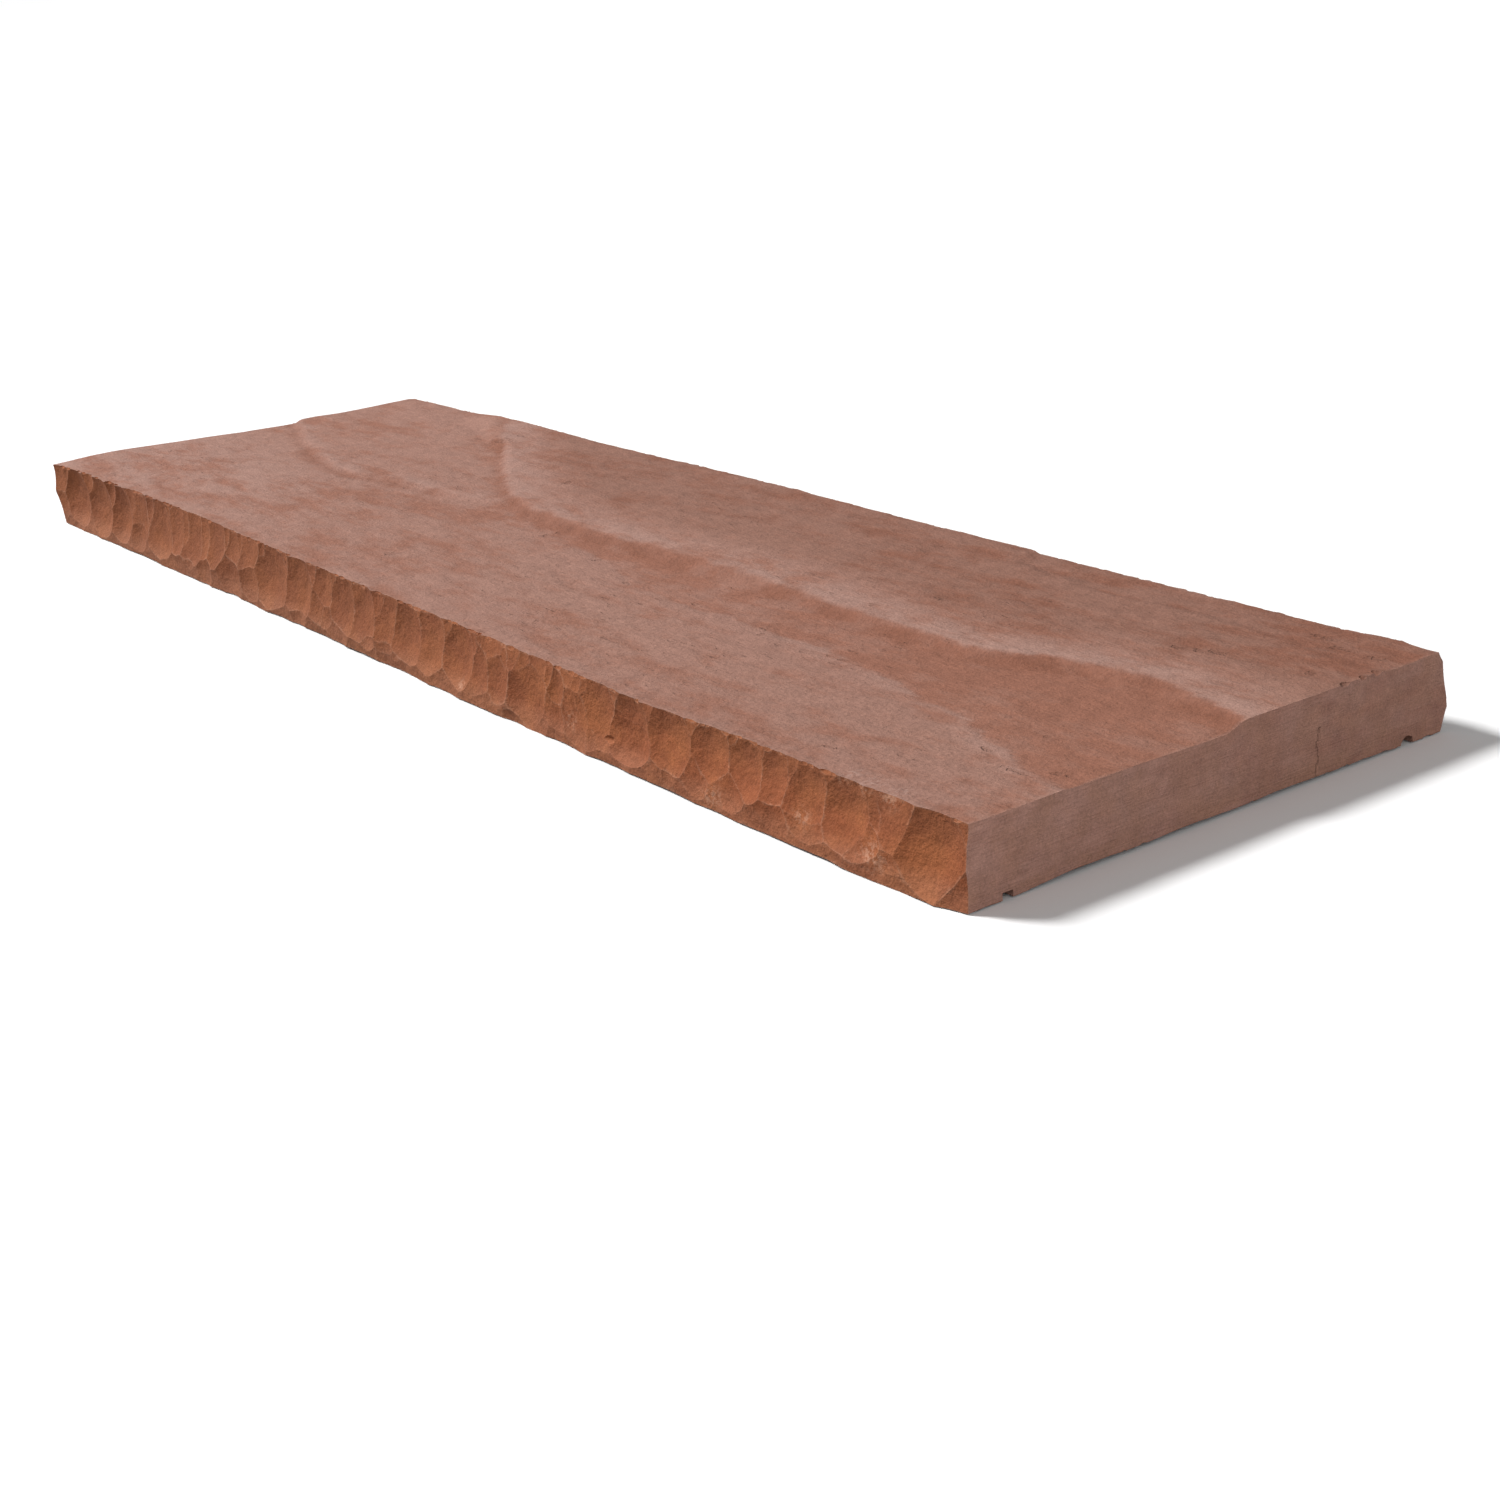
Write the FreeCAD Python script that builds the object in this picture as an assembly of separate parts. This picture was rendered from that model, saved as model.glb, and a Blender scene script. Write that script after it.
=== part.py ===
"""Wall coping of red sandstone, one slab: its top split along the bed, its ends sawn, its long edges
dressed by hand and a drip groove sawn under each overhang.

Millimetres. X runs along the wall, Y across it and Z up. The origin is on the bed, under the middle.
"""

import FreeCAD
import Part

import itertools
import math
import os

Vector = FreeCAD.Vector

# The slab
slab_length = 1000.0
face_width = 300.0  # top arris to top arris
slab_thickness = 40.0  # bed to the lowest layer of the split top

# The dressed edges: bites struck down from the top arris meet bites struck up from the bottom one
front_set_back = 1.2  # bottom arris, in from where they meet
back_set_back = 5.0
top_bite_hollow = 1.9  # depth of a bite as tall as the slab, under the straight line down it
bottom_bite_hollow = 0.15
bottom_bite_height = 11.0
bottom_bite_climb = 9.0  # how much higher the highest bottom bite reaches
bite_width = 28.57
bottom_bite_spread = 1.54  # width of a bottom bite against a top one
dressing_allowance = 8.0  # stone outside the bulge before dressing

# Bites along the front edge, from the left: share of the bite width, share of the thickness run down
edge_bites = (
    (0.63, 0.50), (1.50, 0.93), (1.36, 0.96), (1.19, 0.92), (1.12, 0.78), (0.98, 0.88), (0.98, 0.66),
    (1.08, 0.75), (1.22, 0.65), (0.70, 0.62), (1.19, 0.60), (1.08, 0.90), (1.50, 0.86), (0.84, 0.70),
    (0.84, 0.82), (1.33, 0.80), (0.70, 0.72), (0.87, 0.90), (1.19, 0.92), (0.91, 0.94), (1.22, 0.70),
    (0.77, 0.84), (0.80, 0.86), (0.91, 0.68), (0.84, 0.78), (0.38, 0.60), (1.08, 0.85), (1.26, 0.76),
    (1.05, 0.74), (0.73, 0.70), (0.70, 0.66), (1.12, 0.76), (0.98, 0.82), (1.22, 0.70), (0.67, 0.66),
)

# The front top arris: place as a share of the half length, how far it stands in from its straight line;
# the back one is turned about the middle
arris_wander = (
    (-1.00, -0.4), (-0.93, 2.6), (-0.53, 6.0), (-0.18, 2.6), (0.16, 1.4), (0.56, -3.8), (0.70, -0.6),
    (0.90, -0.9), (1.00, 1.5),
)

# Where the bites meet: place as a share of the half length, how far out from the top arris's straight line
front_bulges = (
    (-1.00, 3.0), (-0.20, 3.6), (0.00, 5.4), (0.12, 8.4), (0.60, 9.0), (0.92, 9.0), (1.00, 1.0),
)
back_bulges = ((-1.00, 7.6), (1.00, 7.6))

# Corners of the left end, knocked off: side, height of the break's middle, depth of the break
corner_breaks = ((-1, -10.0, 4.8), (1, 62.0, 5.8))
corner_break_radius = 80.0

# The drip grooves
groove_width = 6.0
groove_depth = 4.0
groove_inset = 21.0  # top arris to the groove's centre line

# The split top: places are shares of the half length and of the half face width, from the middle
ledge_run = 2.2  # a ledge's slope, run for each millimetre of rise
back_bed_rise = 3.2  # at the middle of the slab
back_bed_fall = 1.0  # lower than that at the right end
back_bed_ledge = (
    (-0.74, 1.20), (-0.56, 0.68), (-0.30, 0.20), (-0.13, 0.07), (0.04, 0.07), (0.30, 0.09),
    (0.55, 0.02), (0.69, -0.04), (0.80, 0.13), (0.92, 0.13), (1.08, 0.08),
)
left_bed_rise = 1.4
left_bed_fall = 0.6
left_bed_ledge = (
    (-1.08, 0.46), (-0.86, 0.14), (-0.73, 0.01), (-0.62, -0.07), (-0.50, 0.00), (-0.28, 0.08),
    (-0.10, 0.40),
)
swell_height = 5.0  # highest swell of the split top
# Swells and hollows: place along and across, share of that height, reach along and across
swells = (
    (-0.85, -0.68, 1.00, 0.65, 0.65),
    (-0.75, 1.05, 0.36, 0.28, 0.35),
    (0.25, -0.20, -0.20, 0.45, 0.30),
    (-0.05, 0.95, 0.36, 0.45, 0.50),
    (0.95, 1.00, 0.16, 0.35, 0.50),
)
swell_lines_along = 25
swell_lines_across = 11

# What follows from them
half_length = slab_length / 2
half_face = face_width / 2
half_stock = half_face + max(bulge for place, bulge in front_bulges + back_bulges) + dressing_allowance
stock_height = slab_thickness + 2 * (swell_height + back_bed_rise + back_bed_fall)
overrun = slab_thickness / 2  # how far a cut runs past the stock


def split_height(along, across):
    """Height of the lowest layer of the split top at a place in shares of the half sizes."""
    height = slab_thickness
    for place_along, place_across, share, reach_along, reach_across in swells:
        far_along = (along - place_along) / reach_along
        far_across = (across - place_across) / reach_across
        height += swell_height * share * math.exp(-far_along**2 - far_across**2)
    return height


def waste_over_split():
    """The stone over the split top: its underside is that uneven surface."""
    end_along = (half_length + overrun) / half_length
    end_across = (half_stock + overrun) / half_face
    grid = []
    for step_along in range(swell_lines_along):
        along = end_along * (2 * step_along / (swell_lines_along - 1) - 1)
        line = []
        for step_across in range(swell_lines_across):
            across = end_across * (2 * step_across / (swell_lines_across - 1) - 1)
            height = split_height(along, across)
            line.append(Vector(along * half_length, across * half_face, height))
        grid.append(line)
    surface = Part.BSplineSurface()
    surface.interpolate(grid)
    return surface.toShape().extrude(Vector(0, 0, stock_height))


def higher_bed(ledge, rise, fall, stock, waste):
    """A layer that the split left standing behind a ledge, whose face slopes back as it rises."""
    foot = slab_thickness / 2
    crest = slab_thickness + rise - foot
    lean = Vector(0, ledge_run, 1)
    foot_line = []
    for along, across in ledge:
        foot_line.append(Vector(along * half_length, across * half_face, foot + crest) - lean * crest)
    curve = Part.BSplineCurve()
    curve.interpolate(foot_line)
    first = foot_line[0]
    last = foot_line[-1]
    far_side = half_stock + overrun
    closing = [last, Vector(last.x, far_side, foot), Vector(first.x, far_side, foot), first]
    outline = Part.Wire([curve.toShape()] + Part.makePolygon(closing).Edges)
    bed = Part.Face(outline).extrude(lean * (stock_height - foot))
    tilt = math.degrees(math.atan(fall / half_length))
    waste_over_bed = waste.translated(Vector(0, 0, rise))
    waste_over_bed.rotate(Vector(0, 0, slab_thickness + rise), Vector(0, 1, 0), tilt)
    return bed.common(stock).cut(waste_over_bed)


def bite(x, side, arris, ridge, hollow):
    """A round bite out of a long edge, through an arris point and a ridge point.

    Both points are (distance out from the middle, height); side is -1 at the front, 1 at the back.
    """
    run = ridge[0] - arris[0]
    drop = arris[1] - ridge[1]
    chord = math.hypot(run, drop)
    radius = chord**2 / (8 * hollow) + hollow / 2
    stand_off = (radius - hollow) / chord
    out = (arris[0] + ridge[0]) / 2 + stand_off * abs(drop)
    up = (arris[1] + ridge[1]) / 2 + stand_off * run * math.copysign(1, drop)
    return Part.makeSphere(radius, Vector(x, side * out, up))


def bites_along(pattern, mean_width):
    """Bites laid end to end until the edge is full: the middle of each and its share of the depth."""
    laid = []
    left = -half_length
    for width_share, depth_share in itertools.cycle(pattern):
        if left > half_length - mean_width / 8:
            return laid
        width = width_share * mean_width
        laid.append((left + width / 2, depth_share))
        left += width


def value_at(line, along):
    """Value of a line of (place, value) points at a place in shares of the half length."""
    for (first, first_value), (last, last_value) in zip(line, line[1:]):
        if along <= last:
            return first_value + (last_value - first_value) * (along - first) / (last - first)
    return line[-1][1]


def dressed_edge(side, pattern, bulges, set_back):
    """All the bites of one long edge."""
    bites = []
    for x, share in bites_along(pattern, bite_width):
        arris = (half_face - value_at(arris_wander, -side * x / half_length), slab_thickness)
        ridge = (half_face + value_at(bulges, x / half_length), slab_thickness * (1 - share))
        bites.append(bite(x, side, arris, ridge, top_bite_hollow * share**2))
    for x, share in bites_along(pattern[::-1], bite_width * bottom_bite_spread):
        out = half_face + value_at(bulges, x / half_length)
        arris = (out - set_back, 0)
        ridge = (out, bottom_bite_height + bottom_bite_climb * (1 - share))
        bites.append(bite(x, side, arris, ridge, bottom_bite_hollow))
    return bites


def corner_break(side, height, depth):
    """The stone knocked off a corner of the left end, deepest level with the break's middle."""
    corner = Vector(-half_length, side * half_face, height)
    outward = Vector(-1, side, 0).normalize()
    return Part.makeSphere(corner_break_radius, corner + outward * (corner_break_radius - depth))


def drip_groove(side):
    """A saw cut along the whole underside."""
    corner = Vector(-half_length, side * (half_face - groove_inset) - groove_width / 2, 0)
    return Part.makeBox(slab_length, groove_width, groove_depth, corner)


def coping_slab():
    """The finished slab."""
    stock = Part.makeBox(slab_length, 2 * half_stock, stock_height, Vector(-half_length, -half_stock, 0))
    waste = waste_over_split()
    slab = stock.cut(waste)
    slab = slab.fuse(higher_bed(left_bed_ledge, left_bed_rise, left_bed_fall, stock, waste))
    slab = slab.fuse(higher_bed(back_bed_ledge, back_bed_rise, back_bed_fall, stock, waste))
    front_bites = dressed_edge(-1, edge_bites, front_bulges, front_set_back)
    back_bites = dressed_edge(1, edge_bites[::-1], back_bulges, back_set_back)
    for cutter in front_bites + back_bites:
        slab = slab.cut(cutter)
    for side, height, depth in corner_breaks:
        slab = slab.cut(corner_break(side, height, depth))
    for side in (-1, 1):
        slab = slab.cut(drip_groove(side))
    return slab


os.makedirs("parts", exist_ok=True)
coping_slab().exportStep("parts/coping_slab.step")
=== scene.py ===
"""Looks of a sandstone wall coping: split top, long edges dressed by hand, sawn ends, grooved underside."""

import enum
import logging
import math
import random
from dataclasses import dataclass, field
from typing import Callable, Iterator, Sequence, Union

import bmesh
import bpy
import numpy as np
from mathutils import Matrix, Vector, noise


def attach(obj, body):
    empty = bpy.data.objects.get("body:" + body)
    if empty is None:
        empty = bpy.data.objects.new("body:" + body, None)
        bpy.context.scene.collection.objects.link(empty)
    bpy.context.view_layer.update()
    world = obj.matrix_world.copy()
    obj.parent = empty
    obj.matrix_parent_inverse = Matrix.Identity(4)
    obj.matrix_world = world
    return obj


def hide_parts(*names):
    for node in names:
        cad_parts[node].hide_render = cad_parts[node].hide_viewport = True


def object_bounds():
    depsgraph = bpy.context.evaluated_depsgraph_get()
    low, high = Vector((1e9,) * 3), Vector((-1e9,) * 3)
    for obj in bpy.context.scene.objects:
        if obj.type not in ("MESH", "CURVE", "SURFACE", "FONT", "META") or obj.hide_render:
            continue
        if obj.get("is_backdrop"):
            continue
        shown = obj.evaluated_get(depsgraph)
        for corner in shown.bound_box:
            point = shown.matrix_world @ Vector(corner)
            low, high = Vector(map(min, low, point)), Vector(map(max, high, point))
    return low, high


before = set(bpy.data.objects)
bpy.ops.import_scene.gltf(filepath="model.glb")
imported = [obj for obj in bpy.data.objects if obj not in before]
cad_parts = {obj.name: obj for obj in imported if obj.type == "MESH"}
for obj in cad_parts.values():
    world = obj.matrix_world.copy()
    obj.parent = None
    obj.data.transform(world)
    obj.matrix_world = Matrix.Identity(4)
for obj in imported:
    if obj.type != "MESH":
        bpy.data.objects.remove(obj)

log = logging.getLogger("coping")

MM = 0.001
NODE = "coping_slab"

Colour = tuple[float, float, float]
Triple = tuple[float, float, float]
Pair = tuple[float, float]
Socket = bpy.types.NodeSocket
Value = Union[float, Socket]


class Side(enum.IntEnum):
    """The two long edges, by the sign of their Y."""

    FRONT = -1
    BACK = 1


class Skin(enum.Enum):
    """The kinds of surface on the stone; the value is the material's name."""

    SAWN = "sawn_face"
    SPLIT = "split_top"
    DRESSED = "dressed_edge"
    BED = "split_bed"


class Mask(enum.Enum):
    """Values painted on the mesh for the finishes to read."""

    RIM = "ledge_rim"
    SCARP = "ledge_scarp"
    HOLLOW = "ledge_hollow"
    BACK = "back_bed"
    RIDGE = "broken_ridge"
    BRUISE = "tool_bruise"


CUT_NUMBER = "cut_number"

# Sizes that several classes share, in millimetres
HALF_LENGTH = 500.0
HALF_FACE = 150.0
THICKNESS = 40.0

# Ledges: height, patch size and seed of each field that makes a crest stray from its line
LEDGE_STRAY = ((3.0, (30.0, 24.0), 3.1), (1.6, (9.0, 8.0), 8.4))
# Ledges: places along of the two widths of a run, start and reach across of its fade, width of a rim
RUN_PLACES = (-220.0, 40.0)
FADE_START = 95.0
FADE_REACH = 50.0
RIM_REACH = 12.0


def ease(value: np.ndarray) -> np.ndarray:
    """Smooth step from 0 to 1 over the same span."""
    held = np.clip(value, 0.0, 1.0)
    return held * held * (3.0 - 2.0 * held)


def hump(value: np.ndarray) -> np.ndarray:
    """Bell that is 1 at 0 and has faded out by about 2."""
    return np.exp(-(value**2))


def rough_field(x: np.ndarray, y: np.ndarray, reach: Pair, seed: float) -> np.ndarray:
    """Smooth random field.

    Args:
        x: Places along, in millimetres.
        y: Places across, in millimetres.
        reach: Size of one patch along and across, in millimetres.
        seed: Picks another field.

    Returns:
        One value from about -1 to 1 for each place.
    """
    return np.array([noise.noise(Vector((a / reach[0], b / reach[1], seed))) for a, b in zip(x, y)])


def deselect() -> None:
    """Leaves nothing selected, so that an operator acts on its own piece only."""
    if bpy.context.mode != "OBJECT":
        bpy.ops.object.mode_set(mode="OBJECT")
    bpy.ops.object.select_all(action="DESELECT")


def only(piece: bpy.types.Object) -> None:
    """Makes one piece the selected and active one."""
    deselect()
    piece.select_set(True)
    bpy.context.view_layer.objects.active = piece


def named(name: str) -> bpy.types.Object:
    """Names the piece that an operator has just added and returns it."""
    piece = bpy.context.object
    piece.name = name
    piece.data.name = name
    return piece


def spots_of(mesh: bpy.types.Mesh) -> np.ndarray:
    """Places of a mesh's vertices in millimetres, one row each."""
    flat = np.empty(len(mesh.vertices) * 3)
    mesh.vertices.foreach_get("co", flat)
    return flat.reshape(-1, 3) / MM


def read_table(table: Sequence[Pair], x: float) -> float:
    """Value of a table of (place along, value) at a place along."""
    return float(np.interp(x, [place for place, _ in table], [value for _, value in table]))


def add_box(name: str, middle: Triple, size: Triple) -> bpy.types.Object:
    """Adds a box by its middle and its size in millimetres."""
    deselect()
    bpy.ops.mesh.primitive_cube_add(size=1.0, location=tuple(part * MM for part in middle))
    box = named(name)
    box.scale = tuple(part * MM for part in size)
    bpy.ops.object.transform_apply(location=True, rotation=False, scale=True)
    return box


def add_relief(
    name: str, size: Pair, cell: float, height: Callable[[np.ndarray, np.ndarray], np.ndarray], depth: float
) -> bpy.types.Object:
    """Models a cutter with one uneven face.

    Args:
        name: Name of the cutter.
        size: Its size along and across, in millimetres.
        cell: Size of one cell of its mesh, in millimetres.
        height: Gives the height of the uneven face at places along and across.
        depth: How far the cutter reaches from there; less than 0 downwards.

    Returns:
        The cutter.
    """
    along, across = size
    deselect()
    bpy.ops.mesh.primitive_grid_add(
        x_subdivisions=round(along / cell), y_subdivisions=round(across / cell), size=1.0
    )
    cutter = named(name)
    cutter.scale = (along * MM, across * MM, 1.0)
    bpy.ops.object.transform_apply(location=False, rotation=False, scale=True)
    spots = spots_of(cutter.data)
    spots[:, 2] = height(spots[:, 0], spots[:, 1])
    cutter.data.vertices.foreach_set("co", (spots * MM).ravel())
    bpy.ops.object.mode_set(mode="EDIT")
    bpy.ops.mesh.select_all(action="SELECT")
    bpy.ops.mesh.extrude_region_move(TRANSFORM_OT_translate={"value": (0.0, 0.0, depth * MM)})
    bpy.ops.mesh.select_all(action="SELECT")
    bpy.ops.mesh.normals_make_consistent(inside=False)
    bpy.ops.object.mode_set(mode="OBJECT")
    return cutter


@dataclass(frozen=True)
class Ledge:
    """Line on the split top where one bed breaks off above the next, in millimetres.

    Attributes:
        line: Points of the crest, from left to right; the higher bed is behind it.
        rise: Step up at the middle of the slab; less than 0 where the stone behind is lower.
        fall: How much lower the step is at the right end.
        run: Width of its sloping face at the left and at the right.
        rim: How far the crest stands above its bed.
        hollow: Depth of the dish along its foot.
        hollow_reach: Width of that dish.
        ragged: How far the crest strays from its line.
        fade: How much wider the sloping face is at the back edge.
    """

    line: tuple[Pair, ...]
    rise: float
    fall: float = 0.0
    run: Pair = (5.0, 5.0)
    rim: float = 0.0
    hollow: float = 0.0
    hollow_reach: float = 30.0
    ragged: float = 1.0
    fade: float = 0.0

    def beyond(self, x: np.ndarray, y: np.ndarray) -> np.ndarray:
        """How far each place lies behind the crest; less than 0 in front of it."""
        far = 400.0
        ring = list(self.line) + [(self.line[-1][0], far), (self.line[0][0], far)]
        inside = np.zeros(len(x), dtype=bool)
        nearest = np.full(len(x), 1e9)
        for index, (ax, ay) in enumerate(ring):
            bx, by = ring[(index + 1) % len(ring)]
            run_x, run_y = bx - ax, by - ay
            crosses = (ay > y) != (by > y)
            if ay != by:
                inside ^= crosses & (x < run_x * (y - ay) / run_y + ax)
            if index < len(self.line) - 1:
                along = np.clip(((x - ax) * run_x + (y - ay) * run_y) / (run_x**2 + run_y**2), 0.0, 1.0)
                nearest = np.minimum(nearest, np.hypot(x - ax - along * run_x, y - ay - along * run_y))
        stray = sum(height * rough_field(x, y, reach, seed) for height, reach, seed in LEDGE_STRAY)
        return np.where(inside, nearest, -nearest) + self.ragged * stray

    def run_at(self, x: np.ndarray, y: np.ndarray) -> np.ndarray:
        """Width of the sloping face at each place."""
        return np.interp(x, RUN_PLACES, self.run) + self.fade * ease((y - FADE_START) / FADE_REACH)

    def share(self, x: np.ndarray, y: np.ndarray, beyond: np.ndarray) -> np.ndarray:
        """Share of the step that each place has climbed."""
        run = self.run_at(x, y)
        return ease((beyond + run) / run)

    def height(self, x: np.ndarray, y: np.ndarray, beyond: np.ndarray) -> np.ndarray:
        """Height that the ledge adds.

        Args:
            x: Places along the slab.
            y: Places across it.
            beyond: Their distances behind the crest.

        Returns:
            The height at each place.
        """
        run = self.run_at(x, y)
        step = (self.rise - self.fall * x / HALF_LENGTH) * self.share(x, y, beyond)
        rim = self.rim * hump(beyond / RIM_REACH)
        dish = self.hollow * hump((beyond + run) / self.hollow_reach) * ease(-beyond / run)
        return step + rim - dish


@dataclass
class SplitTop:
    """The uneven upper face where the stone was split off along its bed, in millimetres."""

    overrun: float = 20.0
    waste_height: float = 40.0
    cell: float = 3.2
    lowering: float = 0.3
    hollow_start: float = -130.0
    hollow_growth: float = 120.0
    roughness: tuple[tuple[float, Pair, float], ...] = (
        (0.40, (120.0, 40.0), 1.7), (0.20, (44.0, 17.0), 5.2), (0.11, (12.0, 9.0), 9.9),
    )
    swell: float = 5.0
    ceiling: float = 45.5
    swells: tuple[tuple[float, float, float, float, float], ...] = (
        (-0.85, -0.68, 1.00, 0.65, 0.65),
        (-0.75, 1.05, 0.42, 0.28, 0.35),
        (0.25, -0.20, -0.20, 0.45, 0.30),
        (-0.05, 0.95, 0.30, 0.45, 0.50),
        (0.95, 1.00, 0.16, 0.35, 0.50),
        (-1.00, 0.43, 0.12, 0.10, 0.08),
        (-1.00, -0.74, 0.16, 0.10, 0.16),
    )
    back_ledge: Ledge = Ledge(
        line=(
            (-372, 180), (-335, 143), (-301, 117), (-261, 95), (-218, 69), (-171, 43), (-135, 24), (-99, 14),
            (-65, 11), (-22, 9), (21, 11), (84, 13), (148, 15), (228, 11), (277, 9), (328, 8), (353, 15),
            (376, 24), (397, 30), (420, 30), (436, 32), (457, 26), (475, 25), (500, 16), (540, 9),
        ),
        rise=3.1, fall=1.0, run=(5.0, 12.0), rim=0.30, hollow=1.0, hollow_reach=26.0, fade=45.0,
    )
    left_ledge: Ledge = Ledge(
        line=(
            (-540, 70), (-489, 45), (-429, 20), (-371, 1), (-321, -12), (-296, -11), (-265, -6), (-204, 0),
            (-150, 8), (-100, 30), (-50, 60),
        ),
        rise=1.4, fall=0.5, run=(4.5, 8.0), rim=0.35, hollow=0.3, hollow_reach=18.0,
    )
    hollow_edge: Ledge = Ledge(
        line=(
            (-180, 20), (-120, 2), (-53, -4), (33, -20), (84, -36), (142, -44), (221, -40), (279, -41),
            (313, -45), (400, -64), (470, -90), (540, -100),
        ),
        rise=-0.45, run=(3.0, 3.0), ragged=1.6,
    )
    spall: Ledge = Ledge(
        line=((222, 180), (226, 147), (238, 128), (300, 119), (380, 122), (460, 112), (540, 108)),
        rise=-1.3, run=(3.0, 3.0), ragged=1.3,
    )

    def height(self, x: np.ndarray, y: np.ndarray) -> np.ndarray:
        """Height of the split face at each place."""
        height = np.full(len(x), THICKNESS)
        for along, across, share, reach_along, reach_across in self.swells:
            far_along = (x / HALF_LENGTH - along) / reach_along
            far_across = (y / HALF_FACE - across) / reach_across
            height += self.swell * share * np.exp(-(far_along**2) - far_across**2)
        back = self.back_ledge.beyond(x, y)
        below = 1.0 - self.back_ledge.share(x, y, back)
        height += self.back_ledge.height(x, y, back)
        height += self.left_ledge.height(x, y, self.left_ledge.beyond(x, y)) * below
        grows = ease((x - self.hollow_start) / self.hollow_growth)
        height += self.hollow_edge.height(x, y, self.hollow_edge.beyond(x, y)) * below * grows
        height += self.spall.height(x, y, self.spall.beyond(x, y))
        for swing, reach, seed in self.roughness:
            height += swing * rough_field(x, y, reach, seed)
        return np.minimum(height - self.lowering, self.ceiling)

    def build_waste(self) -> bpy.types.Object:
        """Models the stone over the split, whose underside is the split face, as a cutter."""
        size = (2 * (HALF_LENGTH + self.overrun), 2 * (HALF_FACE + self.overrun))
        return add_relief("split_waste", size, self.cell, self.height, self.waste_height)


@dataclass(frozen=True)
class Stroke:
    """One kind of bite: the ranges that its chance values are drawn from.

    Attributes:
        arris: How far its upper end, or all of a small one, strays outwards, in millimetres.
        ridge: How far its lower end strays outwards, in millimetres.
        reach: How far it runs down the face, for a chip to either side of its middle, in millimetres.
        hollow: Its depth against the usual one; on the shelf, in millimetres.
        squeeze: Width of its ball against the height.
        lean: Angle in degrees that it leans along the edge.
        yaw: Angle in degrees that it faces along the edge.
    """

    arris: Pair = (0.0, 0.0)
    ridge: Pair = (0.0, 0.0)
    reach: Pair = (0.0, 0.0)
    hollow: Pair = (1.0, 1.0)
    squeeze: Pair = (1.0, 1.0)
    lean: Pair = (-15.0, 15.0)
    yaw: Pair = (-6.0, 6.0)


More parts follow.
